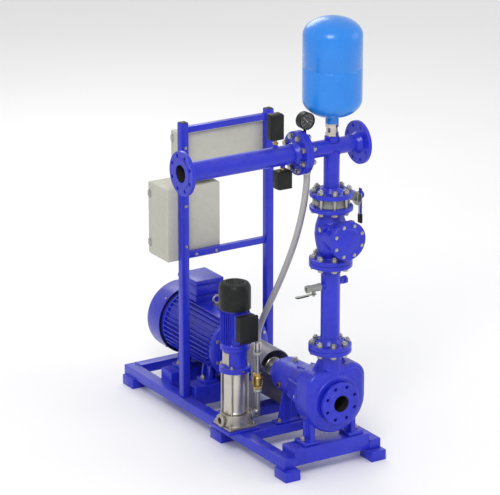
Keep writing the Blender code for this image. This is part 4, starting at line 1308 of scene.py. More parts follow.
@dataclass
class RiserTap:
    """The small ball valve on the riser and the lever that turns about Z."""

    height: float = 0.885

    def build(self) -> None:
        """Makes the valve's body, its hexagons, its stem and its lever."""
        joint = Vector(joint_place("riser_tap_turn"))
        low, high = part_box("riser_tap")
        x, y = joint.x, joint.y
        mid, left, right = (Vector((across, y, self.height)) for across in (x, low.x, high.x))
        shape = Shape()
        shape.bar(right, X, 0, -0.018, 0.0195, 6, 0.0015).bar(left, X, 0, 0.018, 0.0195, 6, 0.0015)
        shape.turn([(0, -0.026), (0.014, -0.026), (0.0165, -0.014), (0.0165, 0.014),
                    (0.014, 0.022), (0, 0.022)], mid, X, SMALL_ROUND)
        shape.rod(mid, (x, y, low.z + 0.006), 0.0095, sides=24)
        shape.rod((x, y, low.z + 0.009), (x, y, low.z), 0.0078, sides=6)
        shape.fused(0.0009, 1).cut(Shape().bar(left, X, -0.004, 0.02, 0.0095, sides=24))
        shape.piece("tap_casting", ENAMEL, "riser_tap", sharp_deg=45)

        body = "riser_tap_lever"
        lever_low, lever_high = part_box(body)
        top, length = lever_high.z, x - lever_low.x
        outline = [*arc((x, y), 0.0135, -78, 78, 12), (x - 0.03, y + 0.0085),
                   *arc((x - length + 0.01, y), 0.01, 100, 260, 12), (x - 0.03, y - 0.0085)]
        Shape().prism(outline, top - 0.0035, top, Axis.Z, 0.0006).piece("tap_lever_plate", ZINC, body, body)
        outline = (arc((x - 0.036, y), 0.0105, -60, 60, 8)
                   + arc((x - length + 0.0125, y), 0.0125, 95, 265, 12))
        Shape().prism(outline, top - 0.0065, top - 0.0004, Axis.Z, 0.0018).piece(
            "tap_lever_grip", BLACK, body=body)
        nut = Shape().rod((x, y, top - 0.003), (x, y, top - 0.01), 0.0072, sides=6, edge=0.0006)
        nut.rod((x, y, top - 0.003), (x, y, top - 0.0138), 0.0035, sides=12)
        nut.piece("tap_lever_nut", ZINC, body=body)


@dataclass
class CheckValve:
    """The swing check valve: cast body, front bonnet, bolted cover and hinge pin plugs."""

    voxel: float = 0.0026
    bonnet_radius: float = 0.09
    bolt_ring: float = 0.074

    def build(self) -> None:
        """Makes the casting, the cover, the hinge pin and all bolts."""
        low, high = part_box("check_valve_body")
        x, y, mid = middle("check_valve_body").x, middle("riser_pipe").y, middle("check_valve_cover").z
        foot, front = Vector((x, y, low.z)), low.y
        height, thick = high.z - low.z, FLANGE_THICK
        shape = Shape().turn([
            (0, 0), (0.052, 0.004), (0.054, 0.03), (0.064, 0.06), (0.073, height / 2 - 0.03),
            (0.076, height / 2), (0.072, height / 2 + 0.04), (0.056, height - 0.04),
            (0.052, height - 0.01), (0, height - 0.004)], foot, Z)
        for level in (0, height - thick):
            shape.turn(disc((high.x - low.x) / 2, level, level + thick), foot, Z)
        shape.turn([(0, 0), (0.071, 0), (0.07, 0.06), (0.078, 0.118), (0, 0.118)],
                   (x, y - 0.012, mid), -Y)
        shape.turn(disc(self.bonnet_radius, 0, 0.014), (x, front + 0.014, mid), -Y)
        pin = Vector((x, y - 0.046, mid + 0.044))
        shape.bar(pin, X, -0.086, 0.086, 0.0165, sides=24)
        shape.fused(self.voxel, 3).piece("check_valve_casting", CAST_BLUE, "check_valve_body",
                                         sharp_deg=50)

        cover_low, cover_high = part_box("check_valve_cover")
        face, deep = Vector((x, cover_high.y, mid)), cover_high.y - cover_low.y
        Shape().turn([
            (0, 0), *rim(self.bonnet_radius, 0, deep - 0.004, 0.0015), (0.06, deep - 0.004),
            (0.056, deep - 0.001), (0.054, deep), (0, deep)], face, -Y).piece(
            "check_valve_lid", CAST_BLUE, "check_valve_cover")
        Shape().turn(ring(0.06, 0.088, -0.0006, 0.001), face, -Y).piece("check_valve_gasket", RUBBER)

        bolts = Shape()
        for spot in ring_points(face - Y * (deep - 0.004), -Y, self.bolt_ring, 8, 22.5):
            bolts.bar(spot, Y, 0.004, -0.0008, 0.009, sides=20).bar(spot, Y, 0, -0.0036, 0.0086, 6, 0.0004)
        for spot in ring_points(face + Y * 0.0145, -Y, self.bolt_ring, 8, 22.5):
            bolts.bar(spot, Y, 0, 0.007, 0.0086, 6, 0.0006).bar(spot, Y, 0, 0.011, 0.0048, sides=12)
        for side in SIDES:
            bolts.bar(pin + X * (side * 0.085), X, 0, side * 0.009, 0.0125, sides=6, edge=0.001)
        bolts.bolt_pair(foot - Z * thick, foot + Z * thick).piece("check_valve_bolts", ZINC)
        Shape().turn(ring(*GASKET, -0.0016, 0.0016), foot, Z).piece("check_valve_lower_gasket", RUBBER)


@dataclass
class ButterflyValve:
    """The wafer valve between two flanges, with its neck, notch plate and lever."""

    body_radius: float = 0.075
    notches: int = 11

    def __post_init__(self) -> None:
        """Reads the valve's place from the CAD nodes."""
        self.low, self.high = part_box("butterfly_valve")
        self.x, self.y = middle("check_valve_body").x, middle("riser_pipe").y
        self.z = (self.low.z + self.high.z) / 2

    def build_body(self) -> None:
        """Makes the wafer body, the long studs and the notch plate."""
        x, y, z, low, high, radius = self.x, self.y, self.z, self.low, self.high, self.body_radius
        height, waist = high.z - low.z, radius - 0.006
        foot = Vector((x, y, low.z))
        half = [(0, 0), (radius - 0.001, 0), (radius, 0.001), (radius, 0.008), (waist, 0.012)]
        shape = Shape().turn(ended(half, half, height), foot, Z)
        shape.rod((x + 0.05, y, z), (x + 0.126, y, z), 0.0175, sides=28)
        shape.turn([(0, 0), (0.02, 0), (0.02, 0.01), (0.0175, 0.016), (0, 0.016)],
                   (x + 0.062, y, z), X, SMALL_ROUND)
        shape.box((x + 0.122, y - 0.026, z - 0.022), (x + 0.134, y + 0.026, z + 0.022), 0.003)
        shape.rod((x - 0.06, y, z), (low.x, y, z), 0.016, sides=28, edge=0.002)
        shape.fused(0.0016, 2).rod((x + 0.13, y, z), (high.x, y, z), 0.0088, sides=24)
        shape.piece("butterfly_casting", ENAMEL, "butterfly_valve", sharp_deg=45)

        near, far = x + 0.1342, x + 0.1372
        outline = arc((y, z), 0.046, -205, 25, 40) + arc((y, z), 0.024, 25, -205, 24)
        teeth = Shape()
        for number in range(self.notches):
            angle = math.radians(-190 + 20 * number)
            spot = Vector((x + 0.1357, y + 0.047 * math.cos(angle), z + 0.047 * math.sin(angle)))
            teeth.bar(spot, X, -0.003, 0.003, 0.0028, sides=12)
        plate = Shape().prism(outline, near, far, Axis.X).cut(teeth)
        plate.box((near, y - 0.024, z - 0.026), (far, y + 0.024, z + 0.02), 0.001, 1)
        plate.piece("butterfly_notch_plate", ZINC)
        small = Shape()
        for side in SIDES:
            small.bar(Vector((far, y + side * 0.018, z - 0.014)), X, 0, 0.004, 0.0052, 6, 0.0004)
        small.bolt_pair(foot - Z * FLANGE_THICK, foot + Z * (height + 0.022)).piece("butterfly_studs", ZINC)

    def build_lever(self) -> None:
        """Makes the lever: arm, grip, catch and screws."""
        y, z, body = self.y, self.z, "butterfly_lever"
        low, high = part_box(body)
        start = low.x
        lever = Shape().turn([(0, 0), (0.0165, 0), (0.018, 0.0015), (0.018, 0.016),
                              (0.0155, 0.0195), (0, 0.02)], (start, y, z), X, SMALL_ROUND)
        lever.prism([(y - 0.01, z - 0.1), (y + 0.01, z - 0.1), (y + 0.011, z - 0.02),
                     (y + 0.0085, high.z - 0.003), (y - 0.0085, high.z - 0.003), (y - 0.011, z - 0.02)],
                    start + 0.004, start + 0.012, Axis.X, 0.0015)
        lever.piece("butterfly_lever_arm", SHEET_BLUE, body, body)
        Shape().box((start + 0.001, y - 0.014, low.z), (start + 0.015, y + 0.014, z - 0.09), 0.0055,
                    4).piece("butterfly_lever_grip", BLACK, body=body)
        trigger = Shape().box((start + 0.0015, y - 0.006, low.z + 0.018),
                              (start + 0.0046, y + 0.006, z - 0.04), 0.001, 2)
        trigger.rod((start + 0.003, y - 0.008, z - 0.045), (start + 0.003, y + 0.008, z - 0.045),
                    0.0035, sides=16)
        trigger.piece("butterfly_lever_catch", ZINC, body=body)
        bolt = Shape().rod((start + 0.0195, y, z), (start + 0.0199, y, z), 0.011, sides=24)
        bolt.rod((start + 0.012, y, z + 0.02), (start + 0.0155, y, z + 0.02), 0.0045, sides=6)
        bolt.piece("butterfly_lever_screw", ZINC, body=body)

    def build(self) -> None:
        """Makes the valve and its lever."""
        self.build_body()
        self.build_lever()


@dataclass
class Header:
    """The header: tee over the riser, long spool to the left, flanges, sockets and bolts."""

    tee_radius: float = 0.03805
    branch_radius: float = 0.0365
    branch_bore: float = 0.0315
    wall: float = 0.004
    raised_face: float = 0.002
    raised_radius: float = 0.069
    neck: float = 0.02
    # how deep the dark bore skins reach; their near-black colour is partly painted shade
    skin: float = 0.11

    def __post_init__(self) -> None:
        """Reads the header's axis from the CAD nodes."""
        low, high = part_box("header_spool")
        self.x, self.y, self.z = middle("check_valve_body").x, middle("riser_pipe").y, (low.z + high.z) / 2

    def pipe_end(self, pipe: float, lift: float) -> Profile:
        """The end of a pipe of a given radius with a flange, whose raised face may stand out."""
        edge, thick = self.raised_radius, FLANGE_THICK
        return [(pipe - self.wall, 0), (edge, 0), (edge, lift), *rim(FLANGE_RADIUS, lift, thick),
                (pipe + 0.013, thick), (pipe + 0.011, thick + 0.003), (pipe, thick + self.neck)]

    def end_welds(self, shape: Shape, axis: Vector, length: float, circle: float, bead: float) -> None:
        """Adds the welds between a pipe and its two flanges."""
        for level in (FLANGE_THICK + self.neck, length - FLANGE_THICK - self.neck):
            shape.ring_weld(axis + X * level, X, circle, bead)

    def build_tee(self) -> None:
        """Makes the tee's run and branch with their bores, sockets and bolt holes."""
        low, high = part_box("header_tee")
        x, y, z = self.x, self.y, self.z
        axis, length = Vector((low.x, y, z)), high.x - low.x
        thick, pipe, bore = FLANGE_THICK, self.branch_radius, self.branch_bore
        ends = (self.pipe_end(self.tee_radius, lift) for lift in (0, self.raised_face))
        run = Shape().turn(ended(*ends, length), axis, X)
        run.cut(Shape().rod((x, y, low.z), (x, y, z), bore, sides=ROUND))
        run.drilled(Vector((high.x - thick, y, z)), X)
        reach = z - 0.006 - low.z
        branch = Shape().turn([
            (bore, 0), *rim(FLANGE_RADIUS, 0, thick), (pipe + 0.013, thick),
            (pipe + 0.011, thick + 0.003), (pipe, thick + self.neck), (pipe, reach), (bore, reach)],
            (x, y, low.z), Z)
        branch.cut(Shape().rod((low.x, y, z), (high.x, y, z), self.tee_radius - self.wall + 0.0004,
                               sides=ROUND))
        run.take(branch.bm)
        run.turn([(0, 0), (0.034, 0), (0.034, 0.0225), (0.0325, 0.024), (0, 0.024)],
                 (x, y, z + 0.028), Z)
        gauge, hose = middle("pressure_gauge").x, middle("hose_upper_fitting").x
        run.rod((gauge, y, z + 0.034), (gauge, y, z + 0.05), 0.009, edge=0.0008)
        run.rod((hose, y, z - 0.034), (hose, y, z - 0.054), 0.018, edge=0.001)
        run.ring_weld((x, y, z + 0.03), Z, 0.0345, 0.0028, 40)
        self.saddle_weld(run)
        self.end_welds(run, axis, length, self.tee_radius, 0.0024)
        run.piece("header_tee_steel", BLUE, "header_tee")
        # dark skin in the tee's bore: bare steel, made near black as painted shade
        bore_lining_with_painted_shade(Vector((high.x, y, z)), -X, self.tee_radius - self.wall, self.skin).piece(
            "header_right_bore_iron_and_painted_shade", BARE_IRON_AND_BORE_SHADE)

    def saddle_weld(self, shape: Shape, drops: int = 48) -> None:
        """Adds the weld bead where the branch meets the underside of the run.

        Args:
            shape: what the bead is added to.
            drops: how many drops it has.
        """
        circle = self.branch_radius + 0.0004
        spots = []
        for number in range(drops):
            angle = math.tau * number / drops
            across = circle * math.sin(angle)
            rise = math.sqrt(self.tee_radius ** 2 - across ** 2)
            spots.append(Vector((self.x + circle * math.cos(angle), self.y + across, self.z - rise)))
        shape.drops(spots, 0.0031, 0.0022)

    def build_spool(self) -> None:
        """Makes the long spool with its bore, its switch sockets and its bolt holes."""
        low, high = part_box("header_spool")
        axis, length = Vector((low.x, self.y, self.z)), high.x - low.x
        ends = (self.pipe_end(PIPE_RADIUS, lift) for lift in (self.raised_face, 0))
        pipe = Shape().turn(ended(*ends, length), axis, X)
        pipe.drilled(axis, X)
        self.end_welds(pipe, axis, length, PIPE_RADIUS, 0.0026)
        for node, side in (("pressure_switch_upper", 1), ("pressure_switch_lower", -1)):
            x = middle(node).x
            start = Vector((x, self.y, self.z + side * (PIPE_RADIUS - 0.004)))
            pipe.rod(start, (x, self.y, self.z + side * 0.056), 0.011, edge=0.0008)
            pipe.ring_weld(start + Z * (side * 0.003), Z * side, 0.0115, 0.002, 18)
        pipe.piece("header_spool_steel", BLUE, "header_spool")
        # dark skin in the spool's bore: bare steel, made near black as painted shade
        bore_lining_with_painted_shade(axis, X, PIPE_RADIUS - self.wall, self.skin).piece("header_left_bore_iron_and_painted_shade", BARE_IRON_AND_BORE_SHADE)
        Shape().bolt_pair(Vector((high.x - FLANGE_THICK, self.y, self.z)),
                          Vector((high.x + 0.0006 + FLANGE_THICK, self.y, self.z))).piece(
            "header_joint_bolts", ZINC)
        Shape().turn(ring(*GASKET, -0.0012, 0.0018), (high.x, self.y, self.z), X).piece(
            "header_gasket", RUBBER)

    def build(self) -> None:
        """Makes the header."""
        self.build_tee()
        self.build_spool()


@dataclass
class Vessel:
    """The diaphragm vessel and its steel nipple."""

    dome: float = 0.085
    neck: float = 0.03

    def build(self) -> None:
        """Makes the shell with its seam and neck, and the nipple."""
        low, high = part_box("pressure_vessel")
        x, y, radius = middle("pressure_vessel").x, middle("pressure_vessel").y, (high.x - low.x) / 2
        lower, upper = low.z + 0.028 + self.dome, high.z - self.dome
        seam = (lower + upper) / 2
        groove = radius - 0.0016
        profile = [(0, low.z), (self.neck, low.z), (self.neck, low.z + 0.026),
                   (self.neck + 0.003, low.z + 0.03)]
        profile += [(radius * u, lower + self.dome * v) for u, v in arc((0, 0), 1.0, -74, 0, 18)]
        profile += [(radius, seam - 0.005), (radius, seam - 0.004), (groove, seam - 0.002),
                    (groove, seam + 0.002), (radius, seam + 0.004)]
        profile += [(radius * u, upper + self.dome * v) for u, v in arc((0, 0), 1.0, 0, 90, 20)[:-1]]
        Shape().turn([*profile, (0, high.z)], (x, y, 0), Z, 80).piece(
            "vessel_shell", AZURE, "pressure_vessel", sharp_deg=40)
        low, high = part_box("vessel_nipple")
        height = high.z - low.z
        nipple = Shape().rod((x, y, low.z), (x, y, low.z + 0.02), self.neck, sides=6, edge=0.0016)
        nipple.turn([(0, 0.016), (0.0255, 0.016), (0.0255, height - 0.016), (0, height - 0.016)],
                    (x, y, low.z), Z)
        nipple.rod((x, y, high.z - 0.018), (x, y, high.z), self.neck, sides=6, edge=0.0016)
        nipple.piece("nipple_steel", STAINLESS, "vessel_nipple")


@dataclass
class Instruments:
    """The dial gauge and the two pressure switches."""

    ticks: int = 31
    first_deg: float = 225.0
    sweep_deg: float = 270.0
    pointer_deg: float = 132.0

    def build_gauge(self) -> None:
        """Makes the gauge: case, bezel, dial with plain numbers, pointer and window."""
        low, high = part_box("pressure_gauge")
        x, y, front, depth = middle("pressure_gauge").x, (low.y + high.y) / 2, low.y, high.y - low.y
        radius = (high.x - low.x) / 2
        z, inside = high.z - radius, radius - 0.0052
        case = Shape().turn([
            (0, 0), (radius - 0.006, 0), (radius - 0.001, 0.006), (radius - 0.001, depth - 0.01),
            (radius, depth - 0.009), (radius, depth - 0.001), (radius - 0.001, depth),
            (radius - 0.005, depth), (radius - 0.005, depth - 0.007), (0, depth - 0.007)],
            (x, high.y, z), -Y)
        case.rod((x, y, low.z), (x, y, z - radius + 0.004), 0.0068, sides=24)
        case.box((x - 0.0085, y - 0.0085, low.z + 0.01), (x + 0.0085, y + 0.0085, low.z + 0.024), 0.001)
        case.piece("gauge_case", SHEET_BLACK, "pressure_gauge")
        Shape().rod((x, front + 0.0075, z), (x, front + 0.0062, z), inside, sides=48).piece(
            "gauge_dial", SHEET_BLACK)
        marks = Shape()
        for number in range(self.ticks):
            out = ray(math.radians(self.first_deg - self.sweep_deg * number / (self.ticks - 1)))
            inner = radius * (0.66 if number % 5 == 0 else 0.72)
            start = Vector((x, front + 0.006, z)) + out * inner
            marks.rod(start, start + out * (radius * 0.8 - inner), 0.0005, sides=6)
        tip = ray(math.radians(self.pointer_deg))
        centre = Vector((x, front + 0.005, z))
        marks.rod(centre - tip * 0.008, centre + tip * radius * 0.66, 0.0011, 0.0004, sides=8)
        marks.rod((x, front + 0.0062, z), (x, front + 0.004, z), 0.003, sides=20)
        marks.piece("gauge_marks", DIAL)
        for number in range(7):
            angle = math.radians(self.first_deg - 45.0 * number)
            self.numeral(f"gauge_number_{number}", str(number * 2), (
                x + radius * 0.52 * math.cos(angle), front + 0.0059, z + radius * 0.52 * math.sin(angle)))
        Shape().rod((x, front + 0.003, z), (x, front + 0.002, z), inside, sides=48).piece(
            "gauge_window", WINDOW)

    def numeral(self, name: str, text: str, spot: Point) -> None:
        """Makes one plain number on the dial, as a flat mesh.

        Args:
            name: the piece's name.
            text: the number.
            spot: the centre of the number.
        """
        curve = bpy.data.curves.new(name, "FONT")
        curve.body = text
        curve.size = 0.00812
        curve.align_x = "CENTER"
        curve.align_y = "CENTER"
        curve.extrude = 0.00015
        temp = bpy.data.objects.new(name, curve)
        bpy.context.scene.collection.objects.link(temp)
        shape = Shape().read_back(temp)
        place = Matrix.Translation(Vector(spot)) @ Matrix.Rotation(math.pi / 2, 4, "X")
        bmesh.ops.transform(shape.bm, matrix=place, verts=shape.bm.verts)
        shape.piece(name, DIAL)

    def build_switch(self, node: str, way: int) -> None:
        """Makes one pressure switch: housing, cover seam, screws, socket nut and gland.

        Args:
            node: its CAD node.
            way: 1 where it stands on the header, -1 where it hangs under it.
        """
        low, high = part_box(node)
        up = way > 0
        foot = Vector((middle(node).x, middle(node).y, low.z if up else high.z))
        start = 0.024 if up else 0.012
        bottom, top = sorted((foot.z + way * start, high.z if up else low.z))
        housing = Shape().box((low.x, low.y + 0.01, bottom), (high.x, high.y, top), 0.004, 3)
        housing.box((low.x + 0.0015, low.y, bottom + 0.0015),
                    (high.x - 0.0015, low.y + 0.0092, top - 0.0015), 0.0035, 3)
        housing.piece(node + "_housing", BLACK, node)
        fitting = Shape().bar(foot, Z, 0, way * (start + 0.004), 0.0075, sides=24)
        fitting.bar(foot, Z, way * 0.003, way * 0.011, 0.0125, 6, 0.0008).piece(node + "_socket", BRASS)
        small = Shape()
        for x in (low.x + 0.007, high.x - 0.007):
            for z in (bottom + 0.008, top - 0.008):
                small.rod((x, low.y + 0.001, z), (x, low.y + 0.0001, z), 0.0026, sides=14)
        small.piece(node + "_screws", ZINC)
        spot = Vector((low.x + 0.001, low.y + 0.026, (bottom + top) / 2))
        Shape().bar(spot, X, 0, 0.003, 0.01, sides=6).piece(node + "_gland", BLACK)

    def build(self) -> None:
        """Makes the instruments."""
        self.build_gauge()
        self.build_switch("pressure_switch_upper", 1)
        self.build_switch("pressure_switch_lower", -1)


@dataclass
class Rack:
    """The posts and rails that carry the cabinets."""

    posts: tuple[str, ...] = ("rack_post_left", "rack_post_right")
    rails: tuple[str, ...] = ("rack_lower_rail", "rack_top_rail")

    def build(self) -> None:
        """Makes both posts with their welds and caps, and both rails with their welds."""
        for node in self.posts:
            low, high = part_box(node)
            post = Shape().box(low, (high.x, high.y, high.z - 0.002), 0.004, 3)
            for y in (low.y, high.y):
                post.weld((low.x + 0.004, y, low.z + 0.001), (high.x - 0.004, y, low.z + 0.001), 0.0026)
            post.piece(node + "_steel", BLUE, node)
            Shape().box((low.x + 0.002, low.y + 0.002, high.z - 0.006),
                        (high.x - 0.002, high.y - 0.002, high.z), 0.0018, 2).piece(node + "_cap", BLACK)
        for node in self.rails:
            low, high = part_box(node)
            rail = Shape().box(low, high, 0.003, 3)
            for x in (low.x + 0.0006, high.x - 0.0006):
                rail.weld((x, low.y, low.z + 0.003), (x, low.y, high.z - 0.003), 0.0022)
                rail.weld((x, low.y + 0.002, high.z), (x, high.y - 0.002, high.z), 0.0022)
            rail.piece(node + "_steel", BLUE, node)


@dataclass
class Cabinet:
    """One control cabinet on the rack: case, door, hinges, locks, bolts and cable glands."""

    node: str
    carriers: tuple[str, ...]
    locks: tuple[float, ...] = (0.3, 0.7)
    hinges: tuple[float, ...] = (0.16, 0.84)
    glands: tuple[float, ...] = (0.35, 0.5, 0.65)
    hinge_height: float = 0.034
    seam: float = 0.003

    def __post_init__(self) -> None:
        """Reads the cabinet's and the door's places from the CAD nodes."""
        self.low, self.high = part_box(self.node)
        self.door_low, self.door_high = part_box(self.node + "_door")
        self.rise = self.high.z - self.low.z

    def build_case(self) -> None:
        """Makes the case, the door and the seal between them."""
        low, high = self.low, self.high
        Shape().box(low, (high.x, high.y - self.seam, high.z), 0.004, 3).piece(
            self.node + "_case", BEIGE, self.node)
        Shape().box(self.door_low, self.door_high, 0.004, 3).piece(
            self.node + "_leaf", BEIGE, self.node + "_door")
        Shape().box((low.x + 0.004, high.y - self.seam - 0.001, low.z + 0.004),
                    (high.x - 0.004, self.door_low.y + 0.001, high.z - 0.004)).piece(
            self.node + "_door_seal", RUBBER)

    def build_door_fittings(self) -> None:
        """Makes the hinges and the locks."""
        low, half = self.low, self.hinge_height / 2
        x, y = self.door_low.x - 0.003, self.door_low.y
        hinges, lock, cores = Shape(), Shape(), Shape()
        for share in self.hinges:
            z = low.z + self.rise * share
            hinges.rod((x, y, z - half), (x, y, z + half), 0.0042, sides=20, edge=0.0008)
            hinges.rod((x, y, z - half - 0.003), (x, y, z + half + 0.003), 0.0022, sides=12)
            for side in SIDES:
                near, far = sorted((y + side * 0.003, y + side * 0.015))
                hinges.box((low.x - 0.0022, near, z - half + 0.003),
                           (low.x + 0.0004, far, z + half - 0.003), 0.0006, 1)
        hinges.piece(self.node + "_hinges", ZINC)
        for share in self.locks:
            spot = Vector((self.door_high.x - 0.026, self.door_high.y, low.z + self.rise * share))
            lock.turn([(0, -0.001), (0.0135, -0.001), (0.0135, 0.0022), (0.012, 0.0034),
                       (0.0072, 0.0034), (0.0066, 0.0014), (0, 0.0014)], spot, Y, SMALL_ROUND)
            cores.box(spot + Vector((-0.0012, 0.001, -0.0045)), spot + Vector((0.0012, 0.0028, 0.0045)),
                      0.0004, 1)
        lock.piece(self.node + "_locks", ZINC)
        cores.piece(self.node + "_lock_cores", SHEET_BLACK)

    def build_mounting(self) -> None:
        """Makes the bolts that hold the cabinet to what carries it, and the cable glands."""
        low, high = self.low, self.high
        bolts, glands = Shape(), Shape()
        for carrier in self.carriers:
            near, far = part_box(carrier)
            first = Vector((max(low.x, near.x), near.y, max(low.z, near.z)))
            last = Vector((min(high.x, far.x), near.y, min(high.z, far.z)))
            for share in (0.22, 0.78):
                spot = first.lerp(last, share)
                if last.x - first.x > last.z - first.z:
                    spot.z = (near.z + far.z) / 2
                else:
                    spot.x = (near.x + far.x) / 2
                bolts.nuts([spot], -Y, 0.008)
        bolts.piece(self.node + "_bolts", ZINC)
        for share in self.glands:
            spot = Vector((low.x + (high.x - low.x) * share, (low.y + high.y) / 2 + 0.02, low.z))
            glands.bar(spot, Z, 0.003, -0.006, 0.0135, 6).bar(spot, Z, 0, -0.014, 0.011, 24, 0.0015)
        glands.piece(self.node + "_glands", BLACK)

    def build(self) -> None:
        """Makes the cabinet."""
        self.build_case()
        self.build_door_fittings()
        self.build_mounting()


@dataclass
class JockeyPump:
    """The vertical multistage pump: plate, base, sleeve, stay rods, head, motor and cowl."""

    port_height: float = 0.0394
    rod_circle: float = 0.0635
    rod_radius: float = 0.0046
    motor_radius: float = 0.07
    fin_count: int = 36
    cowl_wall: float = 0.002

    def __post_init__(self) -> None:
        """Reads the pump's axis from the CAD nodes."""
        self.x, self.y = middle("jockey_sleeve").x, middle("jockey_sleeve").y

    def at(self, z: float) -> Vector:
        """A point on the pump's axis."""
        return Vector((self.x, self.y, z))

    def build_base(self) -> None:
        """Makes the plate, the cast base with its two ports, and the bolts."""
        Shape().box(*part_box("jockey_plate"), 0.0015, 2).piece("jockey_plate_steel", BLUE, "jockey_plate")
        low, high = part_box("jockey_base")
        x, y, tall = self.x, self.y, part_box("jockey_sleeve")[0].z - JOINT_GAP - low.z
        reach, centre = (high.x - low.x) / 2, self.at(low.z + self.port_height)
        base = Shape().turn([(0, 0.006), (0.066, 0.006), (0.072, 0.014), (0.072, tall - 0.012),
                             (0.0715, tall - 0.01), (0.0715, tall), (0, tall)], self.at(low.z), Z)
        base.box((x - 0.075, y - 0.075, low.z), (x + 0.075, y + 0.075, low.z + 0.015), 0.005, 3)
        for side in SIDES:
            base.bar(centre, X * side, 0, reach - 0.006, 0.0225)
            base.turn(disc(0.032, 0, 0.01, 0.001), centre + X * side * (reach - 0.01), X * side,
                      SMALL_ROUND)
        base.fused(0.0018, 2).cut(Shape().bar(centre, X, -(reach + 0.006), -0.03, 0.016))
        base.piece("jockey_base_casting", CAST_STEEL, "jockey_base", sharp_deg=45)

        small = Shape().nuts([Vector((x + side_x * 0.064, y + side_y * 0.064, low.z + 0.015))
                              for side_x in SIDES for side_y in SIDES], Z, 0.009)
        for side in SIDES:
            face = centre + X * (side * (reach - 0.01))
            for number in range(4):
                angle = math.radians(45 + 90 * number)
                spot = face + Y * (0.0255 * math.cos(angle)) + Z * (0.0255 * math.sin(angle))
                small.bar(spot, X, 0, -side * 0.004, 0.0052, sides=6)
        small.bar(centre - Y * 0.071, Y, 0.004, -0.003, 0.009, 6, 0.0006)
        small.piece("jockey_base_bolts", ZINC)

    def build_sleeve(self) -> None:
        """Makes the sleeve round the stages."""
        low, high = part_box("jockey_sleeve")
        radius = (high.x - low.x) / 2
        waist = radius - 0.0015
        half = [(0, 0), (radius - 0.002, 0), (radius, 0.002), (radius, 0.008), (waist, 0.01)]
        Shape().turn(ended(half, half, high.z - low.z), self.at(low.z), Z).piece(
            "jockey_stage_sleeve", STAINLESS, "jockey_sleeve")

    def build_head(self) -> None:
        """Makes the pump head with its guarded openings, its stay rods with nuts, and its vent."""
        low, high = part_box("jockey_head")
        x, y, radius, end = self.x, self.y, (high.x - low.x) / 2, high.z
        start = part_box("jockey_sleeve")[1].z + JOINT_GAP
        tall = end - start
        head = Shape().turn([
            (0, 0), (radius - 0.001, 0), (radius, 0.001), (radius, 0.023), (radius - 0.002, 0.025),
            (0.058, 0.027), (0.055, 0.04), (0.055, tall - 0.03), (0.06, tall - 0.018),
            (0.069, tall - 0.015), (0.07, tall - 0.013), (0.07, tall - 0.001), (0.069, tall),
            (0, tall)], self.at(start), Z)
        opening, guard = Shape(), Shape()
        for side in SIDES:
            opening.box((x + side * 0.046 - 0.014, y - 0.026, start + 0.034),
                        (x + side * 0.046 + 0.014, y + 0.026, end - 0.03), 0.006, 3)
            sheet, wire = x + side * 0.0505, x + side * 0.0505 + side * 0.0012
            guard.box((sheet - 0.0008, y - 0.028, start + 0.032), (sheet + 0.0008, y + 0.028, end - 0.028),
                      0.0004, 1)
            for number in range(6):
                z = start + 0.04 + (tall - 0.076) * number / 5
                guard.rod((wire, y - 0.02, z), (wire, y + 0.02, z), 0.0016, sides=8)
        head.cut(opening).piece("jockey_head_casting", CAST_BLUE, "jockey_head")
        guard.piece("jockey_coupling_guards", STAINLESS)
        rods = Shape()
        for spot in ring_points(self.at(low.z), Z, self.rod_circle, 4, 45):
            top = Vector((spot.x, spot.y, start + 0.024))
            rods.rod(spot, top, self.rod_radius, sides=20).nuts([top], Z, 0.01, 0.5)
            rods.rod((spot.x, spot.y, start - 0.001), (spot.x, spot.y, start - 0.009), 0.0082, sides=6,
                     edge=0.0006)
        rods.piece("jockey_stay_rods", ZINC)
        vent = self.at(start + 0.013) - Y * radius
        Shape().bar(vent, Y, 0.006, -0.004, 0.007, 6, 0.0006).piece("jockey_vent_plug", BRASS)

    def build_motor(self) -> None:
        """Makes the ribbed motor with its pad and screws."""
        low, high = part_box("jockey_motor")
        box_low, box_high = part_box("jockey_terminal_box")
        radius, foot, tall = self.motor_radius, self.at(low.z), high.z - low.z
        core = radius - 0.01
        motor = Shape().turn([
            (0, 0), (0.067, 0), (0.069, 0.002), (0.069, 0.014), (core, 0.018),
            (core, tall - 0.012), (core + 0.006, tall - 0.01), (core + 0.006, tall), (0, tall)],
            foot, Z)
        for number in range(self.fin_count):
            angle = math.tau * number / self.fin_count
            if -math.sin(angle) <= 0.78:
                fin = Shape().box((core - 0.002, -0.0013, 0.016), (radius, 0.0013, tall - 0.014), 0.0006, 1)
                motor.take(fin.bm, Matrix.Translation(foot) @ Matrix.Rotation(angle, 4, "Z"))
        motor.box((self.x - 0.042, box_high.y + JOINT_GAP, box_low.z + 0.006),
                  (self.x + 0.042, self.y - 0.04, box_high.z - 0.006), 0.004, 3)
        motor.piece("jockey_motor_frame", BLUE, "jockey_motor")
        screws = Shape()
        for spot in ring_points(self.at(low.z + 0.014), Z, 0.0655, 4, 45):
            screws.bar(spot, Z, 0, 0.004, 0.0042, sides=6)
        screws.piece("jockey_motor_screws", ZINC)

